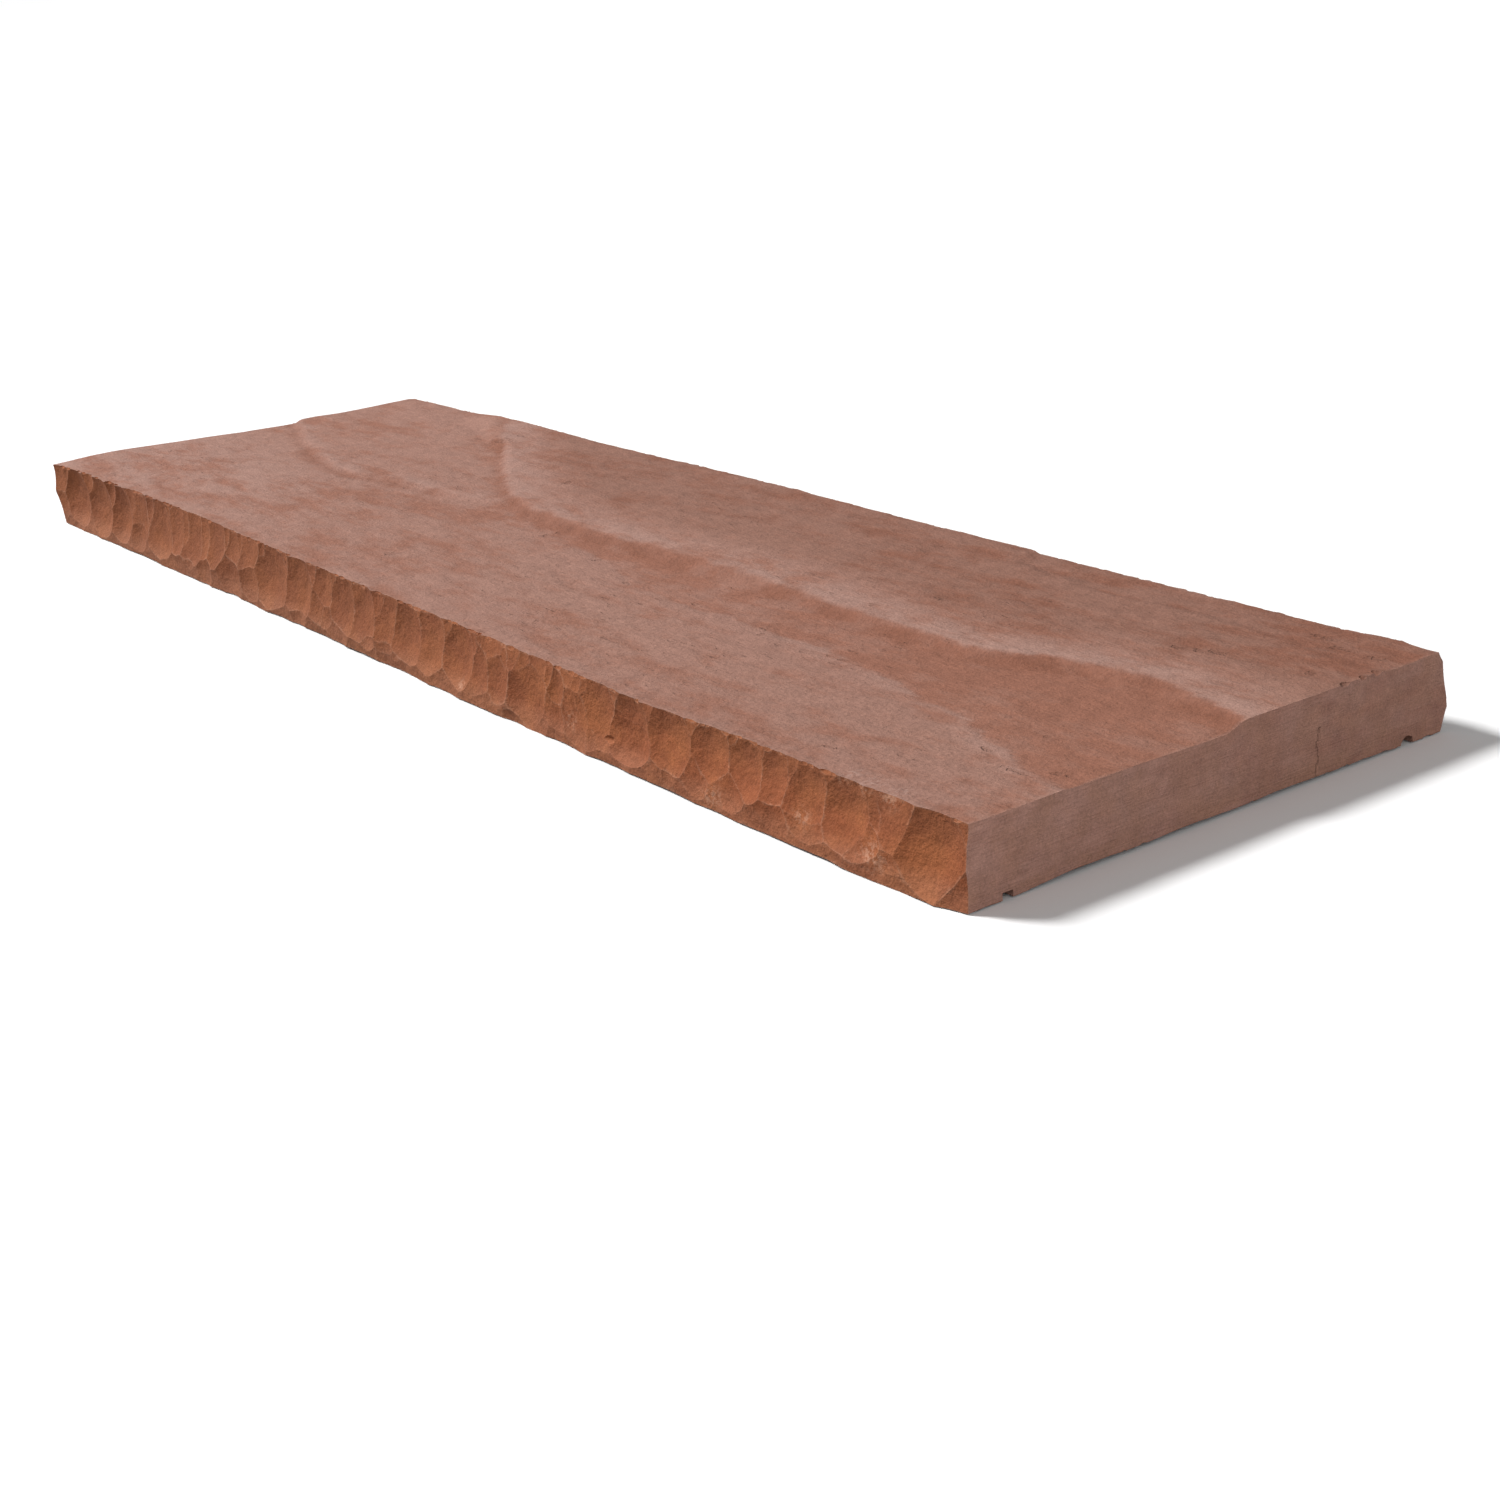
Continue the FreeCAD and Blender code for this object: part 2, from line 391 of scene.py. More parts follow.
@dataclass
class DressedEdge:
    """One long edge: bites struck down from the top arris over bites struck up, in millimetres."""

    side: Side
    bites: tuple[Pair, ...]
    wander: tuple[Pair, ...]
    reach: tuple[Pair, ...]
    bottom_set_back: float = 0.8
    jitter: float = 0.3
    top_hollow: float = 4.2
    breadth: float = 1.0
    width_effect: float = 0.16
    slant: float = 20.0
    slant_start: float = 150.0
    slant_run: float = 250.0
    point_slope: float = 0.16
    point_hollow: float = 0.03
    bottom_hollow: float = 0.16
    bottom_height: float = 10.0
    bottom_climb: float = 9.0
    bottom_spread: float = 1.6
    bottom_squeeze: float = 1.8
    bite_width: float = 28.57
    chips: int = 44
    chip_heights: Triple = (2.0, 36.0, 15.0)
    chip_tilt: Pair = (-0.8, 1.8)
    chip_hollow: float = 0.05
    crushed: Pair = (185.0, 45.0)
    crushed_chips: int = 24
    crushed_reach: Pair = (3.5, 8.0)
    short_middle: float = 172.0
    short_reach: float = 62.0
    short_loss: float = 0.0
    shelf_pitch: float = 23.0
    shelf_steps: range = range(-3, 4)
    shelf_shift: Pair = (-5.0, 5.0)
    shelf_tilt: Pair = (-0.8, 0.8)
    shelf_top: Pair = (24.0, 30.0)
    shelf_foot: Pair = (4.0, 10.0)
    shelf_squeeze: float = 1.2
    top_bite: Stroke = Stroke(
        ridge=(-0.8, 0.2), hollow=(0.7, 1.3), squeeze=(0.9, 1.1), lean=(-10.0, 10.0), yaw=(-6.0, 3.0)
    )
    point_bite: Stroke = Stroke(arris=(-0.1, 0.5), reach=(7.0, 15.0), squeeze=(0.5, 0.8))
    bottom_bite: Stroke = Stroke(arris=(-0.5, 0.4), ridge=(-0.3, 0.3), hollow=(0.6, 1.7), yaw=(-2.0, 2.0))
    chip: Stroke = Stroke(
        arris=(-0.9, 0.1), reach=(4.5, 10.0), hollow=(0.7, 1.5), squeeze=(0.6, 1.0), lean=(-50.0, 50.0),
        yaw=(-9.0, 9.0),
    )
    shelf_bite: Stroke = Stroke(arris=(-1.2, 0.0), hollow=(0.4, 0.9), lean=(-30.0, 30.0), yaw=(-8.0, 8.0))
    seed: int = 5

    def laid(self, bites: Sequence[Pair], mean_width: float) -> Iterator[Triple]:
        """Lays bites end to end along the edge.

        Args:
            bites: Width of each, as a share of the mean width, and its share of the thickness.
            mean_width: Mean width of a bite.

        Returns:
            The middle, width and share of each bite.
        """
        left = -HALF_LENGTH
        for width_share, depth_share in bites:
            width = width_share * mean_width
            if left < HALF_LENGTH:
                yield left + width / 2, width, depth_share
            left += width

    def arris(self, x: float) -> float:
        """Distance of the top arris from the middle of the slab."""
        return HALF_FACE - read_table(self.wander, x)

    def bulge(self, x: float) -> float:
        """Distance from the middle of the slab at which the bites from above and below meet."""
        return HALF_FACE + read_table(self.reach, x)

    def face_at(self, x: float, z: float) -> float:
        """Distance of the dressed face from the middle of the slab, about."""
        bulge = self.bulge(x)
        heights = (0.0, self.bottom_height, THICKNESS)
        return float(np.interp(z, heights, (bulge - self.bottom_set_back, bulge, self.arris(x))))

    def ball(
        self, x: float, arris: Pair, ridge: Pair, hollow: float, squeeze: float, lean: float, yaw: float
    ) -> Matrix:
        """Places the ball that takes one bite.

        Args:
            x: Middle of the bite along the edge.
            arris: Point that it passes through at the arris, as distance out and height.
            ridge: Point where it runs out, as distance out and height.
            hollow: Depth under the straight line between the two.
            squeeze: Width of the ball against its height.
            lean: Angle in degrees that its long axis leans along the edge.
            yaw: Angle in degrees that the bite faces along the edge.

        Returns:
            The matrix for a ball of unit radius.
        """
        run = ridge[0] - arris[0]
        drop = arris[1] - ridge[1]
        chord = math.hypot(run, drop)
        radius = chord**2 / (8 * hollow) + hollow / 2
        outward = Vector((0.0, self.side * abs(drop), run * math.copysign(1.0, drop))) / chord
        middle = Vector((x, self.side * (arris[0] + ridge[0]) / 2, (arris[1] + ridge[1]) / 2))
        pivot = Matrix.Translation((middle - outward * hollow) * MM)
        turn = Matrix.Rotation(math.radians(yaw), 4, "Z") @ Matrix.Rotation(math.radians(lean), 4, "Y")
        reach = Matrix.Translation(outward * radius * MM)
        facing = Matrix.Rotation(0.0 if self.side is Side.FRONT else math.pi, 4, "Z")
        size = Matrix.Diagonal((radius * squeeze * MM, radius * MM, radius * MM, 1.0))
        return pivot @ turn @ reach @ facing @ size

    def top_balls(self, chance: random.Random) -> Iterator[Matrix]:
        """Places the balls of the bites struck down from the top arris."""
        kind = self.top_bite
        for x, width, share in self.laid(self.bites, self.bite_width):
            share *= 1.0 - self.short_loss * math.exp(-(((x - self.short_middle) / self.short_reach) ** 4))
            arris = (self.arris(x) + self.jitter * chance.uniform(-1.0, 1.0), THICKNESS)
            ridge = (self.bulge(x) + chance.uniform(*kind.ridge), THICKNESS * (1 - share))
            hollow = self.top_hollow * share**2 * chance.uniform(*kind.hollow)
            fullness = 1.0 - self.width_effect + self.width_effect * width / self.bite_width
            squeeze = self.breadth * fullness * chance.uniform(*kind.squeeze)
            slant = self.slant * float(np.clip((self.side * x - self.slant_start) / self.slant_run, 0.0, 1.0))
            lean = chance.uniform(*kind.lean) + slant
            yield self.ball(x, arris, ridge, hollow, squeeze, lean, chance.uniform(*kind.yaw))

    def point_balls(self, chance: random.Random) -> Iterator[Matrix]:
        """Places the balls of small bites that take the points between the large ones off the top arris."""
        kind = self.point_bite
        for x, width, _ in self.laid(self.bites, self.bite_width):
            place = x + width / 2
            reach = chance.uniform(*kind.reach)
            out = self.arris(place) + chance.uniform(*kind.arris)
            ridge = (out + self.point_slope * reach, THICKNESS - reach)
            squeeze = chance.uniform(*kind.squeeze)
            lean = chance.uniform(*kind.lean)
            hollow = self.point_hollow * reach
            yield self.ball(place, (out, THICKNESS), ridge, hollow, squeeze, lean, chance.uniform(*kind.yaw))

    def bottom_balls(self, chance: random.Random) -> Iterator[Matrix]:
        """Places the balls of the wide bites struck up from the bottom arris."""
        kind = self.bottom_bite
        for x, _, share in self.laid(self.bites[::-1], self.bite_width * self.bottom_spread):
            bulge = self.bulge(x)
            arris = (bulge - self.bottom_set_back + chance.uniform(*kind.arris), 0.0)
            climb = self.bottom_climb * (1 - share)
            ridge = (bulge + chance.uniform(*kind.ridge), self.bottom_height + climb)
            hollow = self.bottom_hollow * chance.uniform(*kind.hollow)
            lean = chance.uniform(*kind.lean)
            yield self.ball(x, arris, ridge, hollow, self.bottom_squeeze, lean, chance.uniform(*kind.yaw))

    def chip_balls(self, chance: random.Random) -> Iterator[Matrix]:
        """Places the balls of flat secondary flakes, smaller and thicker set where the face is crushed."""
        kind = self.chip
        for number in range(self.chips + self.crushed_chips):
            x = chance.uniform(-HALF_LENGTH, HALF_LENGTH)
            reach = chance.uniform(*kind.reach)
            if number >= self.chips:
                x = chance.gauss(*self.crushed)
                reach = chance.uniform(*self.crushed_reach)
            middle = chance.triangular(*self.chip_heights)
            face = self.face_at(x, middle) + chance.uniform(*kind.arris)
            tilt = chance.uniform(*self.chip_tilt)
            arris = (face - tilt / 2, middle + reach)
            ridge = (face + tilt / 2, middle - reach)
            hollow = self.chip_hollow * reach * chance.uniform(*kind.hollow)
            lean = chance.uniform(*kind.lean)
            squeeze = chance.uniform(*kind.squeeze)
            yield self.ball(x, arris, ridge, hollow, squeeze, lean, chance.uniform(*kind.yaw))

    def shelf_balls(self, chance: random.Random) -> Iterator[Matrix]:
        """Places the balls that trim the shelf left standing under bites that stop short."""
        kind = self.shelf_bite
        for step in self.shelf_steps if self.short_loss else ():
            x = self.short_middle + self.shelf_pitch * step + chance.uniform(*self.shelf_shift)
            out = self.bulge(x) + chance.uniform(*kind.arris)
            tilt = chance.uniform(*self.shelf_tilt)
            arris = (out - tilt, chance.uniform(*self.shelf_top))
            ridge = (out + tilt, chance.uniform(*self.shelf_foot))
            hollow = chance.uniform(*kind.hollow)
            lean = chance.uniform(*kind.lean)
            yield self.ball(x, arris, ridge, hollow, self.shelf_squeeze, lean, chance.uniform(*kind.yaw))

    def balls(self) -> list[Matrix]:
        """Places of all the balls that take bites out of this edge."""
        chance = random.Random(self.seed)
        large = [*self.top_balls(chance), *self.bottom_balls(chance)]
        return [*large, *self.chip_balls(chance), *self.point_balls(chance), *self.shelf_balls(chance)]


@dataclass(frozen=True)
class Break:
    """Stone knocked off by one blow: the place and the size of the ball that takes it, in millimetres."""

    place: Triple
    size: Triple
    rough: float = 0.5


@dataclass
class CopingStone:
    """The whole coping: one block, split, dressed, sawn and grooved."""

    half_stock: float = 160.0
    stock_height: float = 56.0
    groove_length: float = 1050.0
    groove_width: float = 6.0
    groove_depth: float = 4.0
    groove_out: float = 129.0
    bed_cell: float = 5.0
    bed_overrun: float = 10.0
    bed_depth: float = 20.0
    bed_relief: float = 1.4
    bed_roughness: tuple[tuple[float, Pair, float], ...] = (
        (1.0, (70.0, 40.0), 21.3), (0.7, (14.0, 11.0), 4.4),
    )
    end_arch: float = 1.4
    end_arch_reach: float = 90.0
    end_arch_side: float = 140.0
    end_arch_slope: float = 60.0
    large_ball: float = 85.0
    ball_cap: float = 0.70
    ball_levels: tuple[int, int] = (6, 7)
    cutter_step: float = 0.37
    bite_breaks: tuple[Pair, ...] = ((22.0, 1.3), (7.0, 0.5))
    blow_break: float = 7.0
    fineness: tuple[tuple[float, int], ...] = ((20.0, 6), (4.8, 3), (0.0, 2))
    weld: float = 0.02
    crease_degrees: float = 4.0
    ridge_angle: float = 0.06
    ridge_spread: float = 0.40
    bites: tuple[Pair, ...] = (
        (0.63, 0.46), (1.50, 0.93), (1.36, 0.96), (1.19, 0.92), (1.12, 0.78), (0.98, 0.88), (0.98, 0.66),
        (1.08, 0.75), (1.22, 0.65), (0.70, 0.62), (1.19, 0.60), (1.08, 0.90), (1.50, 0.86), (0.84, 0.70),
        (0.84, 0.82), (1.33, 0.80), (0.70, 0.72), (0.87, 0.90), (1.19, 0.92), (0.91, 0.94), (1.22, 0.70),
        (0.77, 0.84), (0.80, 0.86), (0.91, 0.68), (0.84, 0.78), (0.38, 0.60), (1.08, 0.85), (1.26, 0.76),
        (1.05, 0.74), (0.73, 0.70), (0.70, 0.66), (1.12, 0.76), (0.98, 0.82), (1.22, 0.62), (0.67, 0.80),
    )
    wander: tuple[Pair, ...] = (
        (-500, -0.4), (-465, 2.6), (-265, 6.0), (-90, 2.6), (80, 1.4), (280, -3.4), (350, -0.6), (440, -0.9),
        (500, 1.0),
    )
    back_wander: tuple[Pair, ...] = (
        (-500, 1.0), (-400, 0.4), (-250, 1.4), (-60, 0.3), (150, 1.2), (330, 0.2), (440, 1.0), (475, -2.6),
        (500, -4.4),
    )
    front_reach: tuple[Pair, ...] = (
        (-500, 2.2), (-300, 2.6), (-100, 3.2), (-20, 4.8), (5, 3.4), (40, 6.0), (130, 7.2), (195, 5.4),
        (230, 6.6), (300, 7.0), (400, 7.4), (455, 7.6), (472, 6.2), (486, 3.4), (500, 1.2),
    )
    back_reach: tuple[Pair, ...] = ((-500, 5.4), (430, 5.4), (500, 7.6))
    edge_notches: tuple[Break, ...] = (
        Break((10.0, -158.0, -2.0), (9.0, 5.0, 11.0), 1.0),
        Break((152.0, -160.2, 1.0), (19.0, 6.0, 9.0), 1.0),
        Break((257.0, -161.0, 21.0), (27.0, 10.0, 19.0), 1.0),
        Break((241.0, -156.3, 13.0), (6.0, 4.0, 2.6), 0.8),
        Break((506.6, -210.3, 9.0), (60.0, 60.0, 60.0), 0.8),
        Break((495.0, 172.2, 51.6), (40.0, 25.0, 25.0), 0.6),
    )
    corner_breaks: tuple[Break, ...] = (
        Break((-550.9, -205.4, -10.0), (80.0, 80.0, 80.0), 1.6),
        Break((-550.2, 204.7, 62.0), (80.0, 80.0, 80.0), 1.6),
    )
    end_nicks: tuple[Break, ...] = (
        Break((501.0, -71.0, 41.8), (5.0, 9.0, 2.2)),
        Break((501.0, -37.0, 41.6), (4.0, 4.0, 1.9)),
        Break((501.0, 82.0, 43.0), (4.0, 4.0, 2.2)),
        Break((501.0, 95.0, 43.1), (4.0, 3.0, 2.3)),
        Break((501.0, 105.0, 43.0), (5.0, 3.0, 2.4)),
        Break((501.0, 143.0, 43.4), (4.0, 6.0, 2.2)),
        Break((501.5, 128.0, 0.0), (4.0, 5.0, 5.5)),
    )
    end_crumbs: int = 34
    end_crumb_reach: float = 148.0
    end_crumb_middle: float = 0.3
    end_crumb_size: tuple[float, Pair, Pair] = (3.5, (1.8, 4.6), (0.9, 2.4))
    end_crumb_seed: int = 23
    arris_crumbs: int = 100
    arris_crumb_out: float = 0.9
    arris_crumb_size: tuple[Pair, Pair, Pair] = ((1.6, 4.6), (1.0, 1.9), (0.8, 2.2))
    arris_crumb_seed: int = 31
    crumb_rough: float = 0.3
    bruises: tuple[Triple, ...] = (
        (330, 7, 6), (446, 11, 8), (395, 14, 5), (421, 40, 4), (436, 40, 5), (452, 38, 5), (205, 14, 5),
        (96, 8, 4),
    )
    split: SplitTop = field(default_factory=SplitTop)

    def edges(self) -> tuple[DressedEdge, DressedEdge]:
        """The two long edges; the back one has the bites of the front one turned about the middle."""
        front = DressedEdge(
            side=Side.FRONT, bites=self.bites, wander=self.wander, reach=self.front_reach, seed=5,
            short_loss=0.5,
        )
        back = DressedEdge(
            side=Side.BACK, bites=self.bites[::-1], wander=self.back_wander, reach=self.back_reach, seed=11,
            chips=24, crushed_chips=0, bottom_set_back=4.2, top_hollow=2.0, breadth=1.3,
        )
        return front, back

    def build_block(self) -> bpy.types.Object:
        """Models the sawn block that the stone is worked from."""
        size = (2 * HALF_LENGTH, 2 * self.half_stock, self.stock_height)
        block = add_box("coping_stone", (0.0, 0.0, self.stock_height / 2), size)
        block.data.attributes.new(CUT_NUMBER, "INT", "FACE")
        return block

    def build_ball(self, subdivisions: int) -> bpy.types.Object:
        """Models the ball-shaped cutter: only the cap that enters the stone is kept."""
        deselect()
        bpy.ops.mesh.primitive_ico_sphere_add(subdivisions=subdivisions, radius=1.0)
        ball = named("bite_ball")
        bpy.ops.object.mode_set(mode="EDIT")
        bpy.ops.mesh.select_all(action="SELECT")
        bpy.ops.mesh.bisect(
            plane_co=(0.0, self.ball_cap, 0.0), plane_no=(0.0, 1.0, 0.0), use_fill=True, clear_inner=True
        )
        bpy.ops.mesh.select_all(action="SELECT")
        bpy.ops.mesh.normals_make_consistent(inside=False)
        bpy.ops.object.mode_set(mode="OBJECT")
        return ball

    def roughen(self, cutter: bpy.types.Object, size: float, depth: float) -> None:
        """Makes a cutter leave an uneven break.

        Args:
            cutter: Piece whose surface is roughened.
            size: Width of the unevenness in millimetres.
            depth: Its height in millimetres.
        """
        texture = bpy.data.textures.get(f"break_{size}")
        if texture is None:
            texture = bpy.data.textures.new(f"break_{size}", "CLOUDS")
            texture.noise_scale = size * MM
            texture.noise_depth = 3
        displace = cutter.modifiers.new(f"break_{size}", "DISPLACE")
        displace.texture = texture
        displace.texture_coords = "LOCAL"
        displace.strength = depth * MM
        displace.mid_level = 0.5

    def build_bites(
        self, edge: DressedEdge, small: bpy.types.Object, large: bpy.types.Object
    ) -> list[bpy.types.Object]:
        """Copies a ball to every bite of an edge.

        Args:
            edge: Edge to be dressed.
            small: Cutter that is copied for balls of a small radius.
            large: Cutter with a finer mesh for balls of a large radius.

        Returns:
            The cutters, each with its own mesh.
        """
        cutters = []
        for number, matrix in enumerate(edge.balls()):
            shift = Matrix.Translation((self.cutter_step * number, 0.0, 0.0))
            mesh = (large if matrix.to_scale().y > self.large_ball * MM else small).data.copy()
            mesh.transform(shift.inverted() @ matrix)
            cutter = bpy.data.objects.new("bite", mesh)
            cutter.matrix_world = shift
            bpy.context.scene.collection.objects.link(cutter)
            for size, depth in self.bite_breaks:
                self.roughen(cutter, size, depth)
            cutters.append(cutter)
        return cutters

    def build_breaks(self, breaks: Sequence[Break]) -> list[bpy.types.Object]:
        """Models the cutters of broken corners and nicks.

        Args:
            breaks: Blows to be struck.

        Returns:
            One cutter for each.
        """
        cutters = []
        for blow in breaks:
            deselect()
            fine = next(level for size, level in self.fineness if max(blow.size) > size)
            bpy.ops.mesh.primitive_ico_sphere_add(subdivisions=fine, radius=1.0)
            cutter = named("break_ball")
            cutter.data.transform(Matrix.LocRotScale(Vector(blow.place) * MM, None, Vector(blow.size) * MM))
            self.roughen(cutter, self.blow_break, blow.rough)
            cutters.append(cutter)
        return cutters

    def crumbled(self) -> list[Break]:
        """Small breaks along the bottom of both ends, where the saw left the stone."""
        chance = random.Random(self.end_crumb_seed)
        reach, width, height = self.end_crumb_size
        blows = []
        for number in range(2 * self.end_crumbs):
            end = math.copysign(HALF_LENGTH + 1.0, number - self.end_crumbs + 0.5)
            across = chance.uniform(-self.end_crumb_reach, self.end_crumb_reach)
            size = (reach, chance.uniform(*width), chance.uniform(*height))
            blows.append(Break((end, across, self.end_crumb_middle), size, self.crumb_rough))
        return blows

    def serrated(self) -> list[Break]:
        """Tiny breaks along the top arris of both long edges."""
        chance = random.Random(self.arris_crumb_seed)
        blows = []
        for edge in self.edges():
            for _ in range(self.arris_crumbs):
                x = chance.uniform(-HALF_LENGTH, HALF_LENGTH)
                out = edge.side * (edge.arris(x) + self.arris_crumb_out)
                top = float(self.split.height(np.array([x]), np.array([out]))[0])
                length, width, height = (chance.uniform(*span) for span in self.arris_crumb_size)
                blows.append(Break((x, out, top), (length, width, height), self.crumb_rough))
        return blows

    def build_grooves(self) -> list[bpy.types.Object]:
        """Models the two saw cuts of the drip grooves."""
        size = (self.groove_length, self.groove_width, 2 * self.groove_depth)
        return [add_box("groove_cut", (0.0, side * self.groove_out, 0.0), size) for side in Side]

    def bed_height(self, x: np.ndarray, y: np.ndarray) -> np.ndarray:
        """Height of the split bed at each place, with an arch under the right end."""
        relief = sum(swing * rough_field(x, y, reach, seed) for swing, reach, seed in self.bed_roughness)
        inward = ease((self.end_arch_side - np.abs(y)) / self.end_arch_slope)
        arch = self.end_arch * hump((x - HALF_LENGTH) / self.end_arch_reach) * inward
        return np.clip(0.5 + 0.5 * relief, 0.0, 1.0) * self.bed_relief + arch

    def build_bed_waste(self) -> bpy.types.Object:
        """Models the stone under the split bed as a cutter; the bed just touches the floor."""
        size = (2 * (HALF_LENGTH + self.bed_overrun), 2 * (self.half_stock + self.bed_overrun))
        return add_relief("bed_waste", size, self.bed_cell, self.bed_height, -self.bed_depth)

    def cut(
        self,
        stone: bpy.types.Object,
        cutters: Sequence[bpy.types.Object],
        finish: bpy.types.Material,
        first: int,
    ) -> int:
        """Cuts pieces out of the stone and gives the new faces a finish and the number of their cut.

        Args:
            stone: Block being worked.
            cutters: Pieces to take away; they are used up.
            finish: Material of the cut faces.
            first: Number of the first cut.

        Returns:
            The next free number.
        """
        bench = bpy.data.collections.new("bench")
        bpy.context.scene.collection.children.link(bench)
        for number, cutter in enumerate(cutters, first):
            mesh = cutter.data
            mesh.materials.clear()
            mesh.materials.append(finish)
            layer = mesh.attributes.new(CUT_NUMBER, "INT", "FACE")
            layer.data.foreach_set("value", np.full(len(mesh.polygons), number, dtype=np.int32))
            for owner in list(cutter.users_collection):
                owner.objects.unlink(cutter)
            bench.objects.link(cutter)
        only(stone)
        boolean = stone.modifiers.new("cut", "BOOLEAN")
        boolean.operation = "DIFFERENCE"
        boolean.operand_type = "COLLECTION"
        boolean.collection = bench
        boolean.solver = "MANIFOLD"
        boolean.material_mode = "TRANSFER"
        bpy.ops.object.modifier_apply(modifier=boolean.name)
        for cutter in cutters:
            mesh = cutter.data
            bpy.data.objects.remove(cutter)
            bpy.data.meshes.remove(mesh)
        bpy.data.collections.remove(bench)
        return first + len(cutters)

    def drop_crumbs(self, stone: bpy.types.Object) -> None:
        """Deletes the crumbs that the cuts left loose and keeps the stone itself."""
        work = bmesh.new()
        work.from_mesh(stone.data)
        left = set(work.verts)
        islands = []
        while left:
            front = [left.pop()]
            island = list(front)
            while front:
                vertex = front.pop()
                near = [edge.other_vert(vertex) for edge in vertex.link_edges]
                fresh = [other for other in near if other in left]
                left.difference_update(fresh)
                front.extend(fresh)
                island.extend(fresh)
            islands.append(island)
        islands.sort(key=len)
        for crumb in islands[:-1]:
            bmesh.ops.delete(work, geom=crumb, context="VERTS")
        work.to_mesh(stone.data)
        work.free()
        log.info("%d crumbs dropped", len(islands) - 1)

    def clean(self, stone: bpy.types.Object) -> None:
        """Merges doubles, drops slivers and turns all faces outwards."""
        self.drop_crumbs(stone)
        only(stone)
        bpy.ops.object.mode_set(mode="EDIT")
        bpy.ops.mesh.select_all(action="SELECT")
        bpy.ops.mesh.remove_doubles(threshold=self.weld * MM)
        bpy.ops.mesh.dissolve_degenerate(threshold=self.weld * MM)
        bpy.ops.mesh.normals_make_consistent(inside=False)
        bpy.ops.object.mode_set(mode="OBJECT")
        bpy.ops.object.shade_smooth()

    def crease(self, stone: bpy.types.Object) -> np.ndarray:
        """Keeps the meeting line of two cuts sharp.

        Args:
            stone: Finished stone.

        Returns:
            How strongly each vertex stands out on such a line, from 0 to 1.
        """
        work = bmesh.new()
        work.from_mesh(stone.data)
        cut_number = work.faces.layers.int[CUT_NUMBER]
        ridge = np.zeros(len(work.verts))
        for edge in work.edges:
            if len(edge.link_faces) == 2:
                first, second = edge.link_faces
                if first[cut_number] != second[cut_number]:
                    angle = edge.calc_face_angle_signed(0.0)
                    edge.smooth = abs(angle) < math.radians(self.crease_degrees)
                    for vertex in edge.verts:
                        ridge[vertex.index] = max(ridge[vertex.index], angle)
        work.to_mesh(stone.data)
        work.free()
        return np.clip((ridge - self.ridge_angle) / self.ridge_spread, 0.0, 1.0)

    def paint(self, stone: bpy.types.Object, ridge: np.ndarray) -> None:
        """Paints the masks that the finishes read.

        Args:
            stone: Finished stone.
            ridge: How strongly each vertex stands out on a broken ridge.
        """
        x, y, z = spots_of(stone.data).T
        split = self.split
        back = split.back_ledge.beyond(x, y)
        left = split.left_ledge.beyond(x, y)
        floor = split.hollow_edge.beyond(x, y)
        before = ease(-back / 3.0)
        slope = np.clip(0.62 * split.back_ledge.run_at(x, y), 5.0, 8.0)
        rim = np.where(back > 0.0, hump((back - 4.0) / 16.0), hump((back - 1.0) / 3.0))
        left_rim = np.where(left > 0.0, hump((left - 2.0) / 9.0), hump((left - 1.0) / 3.0)) * before
        scarp = hump((back + slope) / slope) * before * ease((140.0 - y) / 45.0)
        left_scarp = hump((left + 7.0) / 6.0) * before
        dish = ease((floor + 1.5) / 4.0) * before * ease((x + 110.0) / 90.0)
        dish *= 0.8 + 0.4 * ease((x - 150.0) / 150.0)
        foot = ease((back + 45.0) / 45.0) * before * ease((-40.0 - x) / 90.0)
        end_stain = ease((x - 400.0) / 90.0) * before
        shelf = hump((floor + 4.0) / 5.0) * ease((x - 200.0) / 80.0) * before
        bruise = np.zeros(len(x))
        for place, height, reach in self.bruises:
            bruise += hump(np.hypot(x - place, (z - height) * 1.3) / reach) * (y < -140.0)
        painted = {
            Mask.RIM: rim + 0.8 * left_rim + 0.7 * shelf,
            Mask.SCARP: scarp + 0.7 * left_scarp * ease((-150.0 - x) / 100.0),
            Mask.HOLLOW: dish + 0.6 * foot + 0.5 * end_stain,
            Mask.BACK: ease((back - 14.0) / 40.0),
            Mask.RIDGE: ridge,
            Mask.BRUISE: bruise,
        }
        for mask, values in painted.items():
            layer = stone.data.attributes.new(mask.value, "FLOAT", "POINT")
            layer.data.foreach_set("value", np.clip(values, 0.0, 1.0).astype(np.float32))

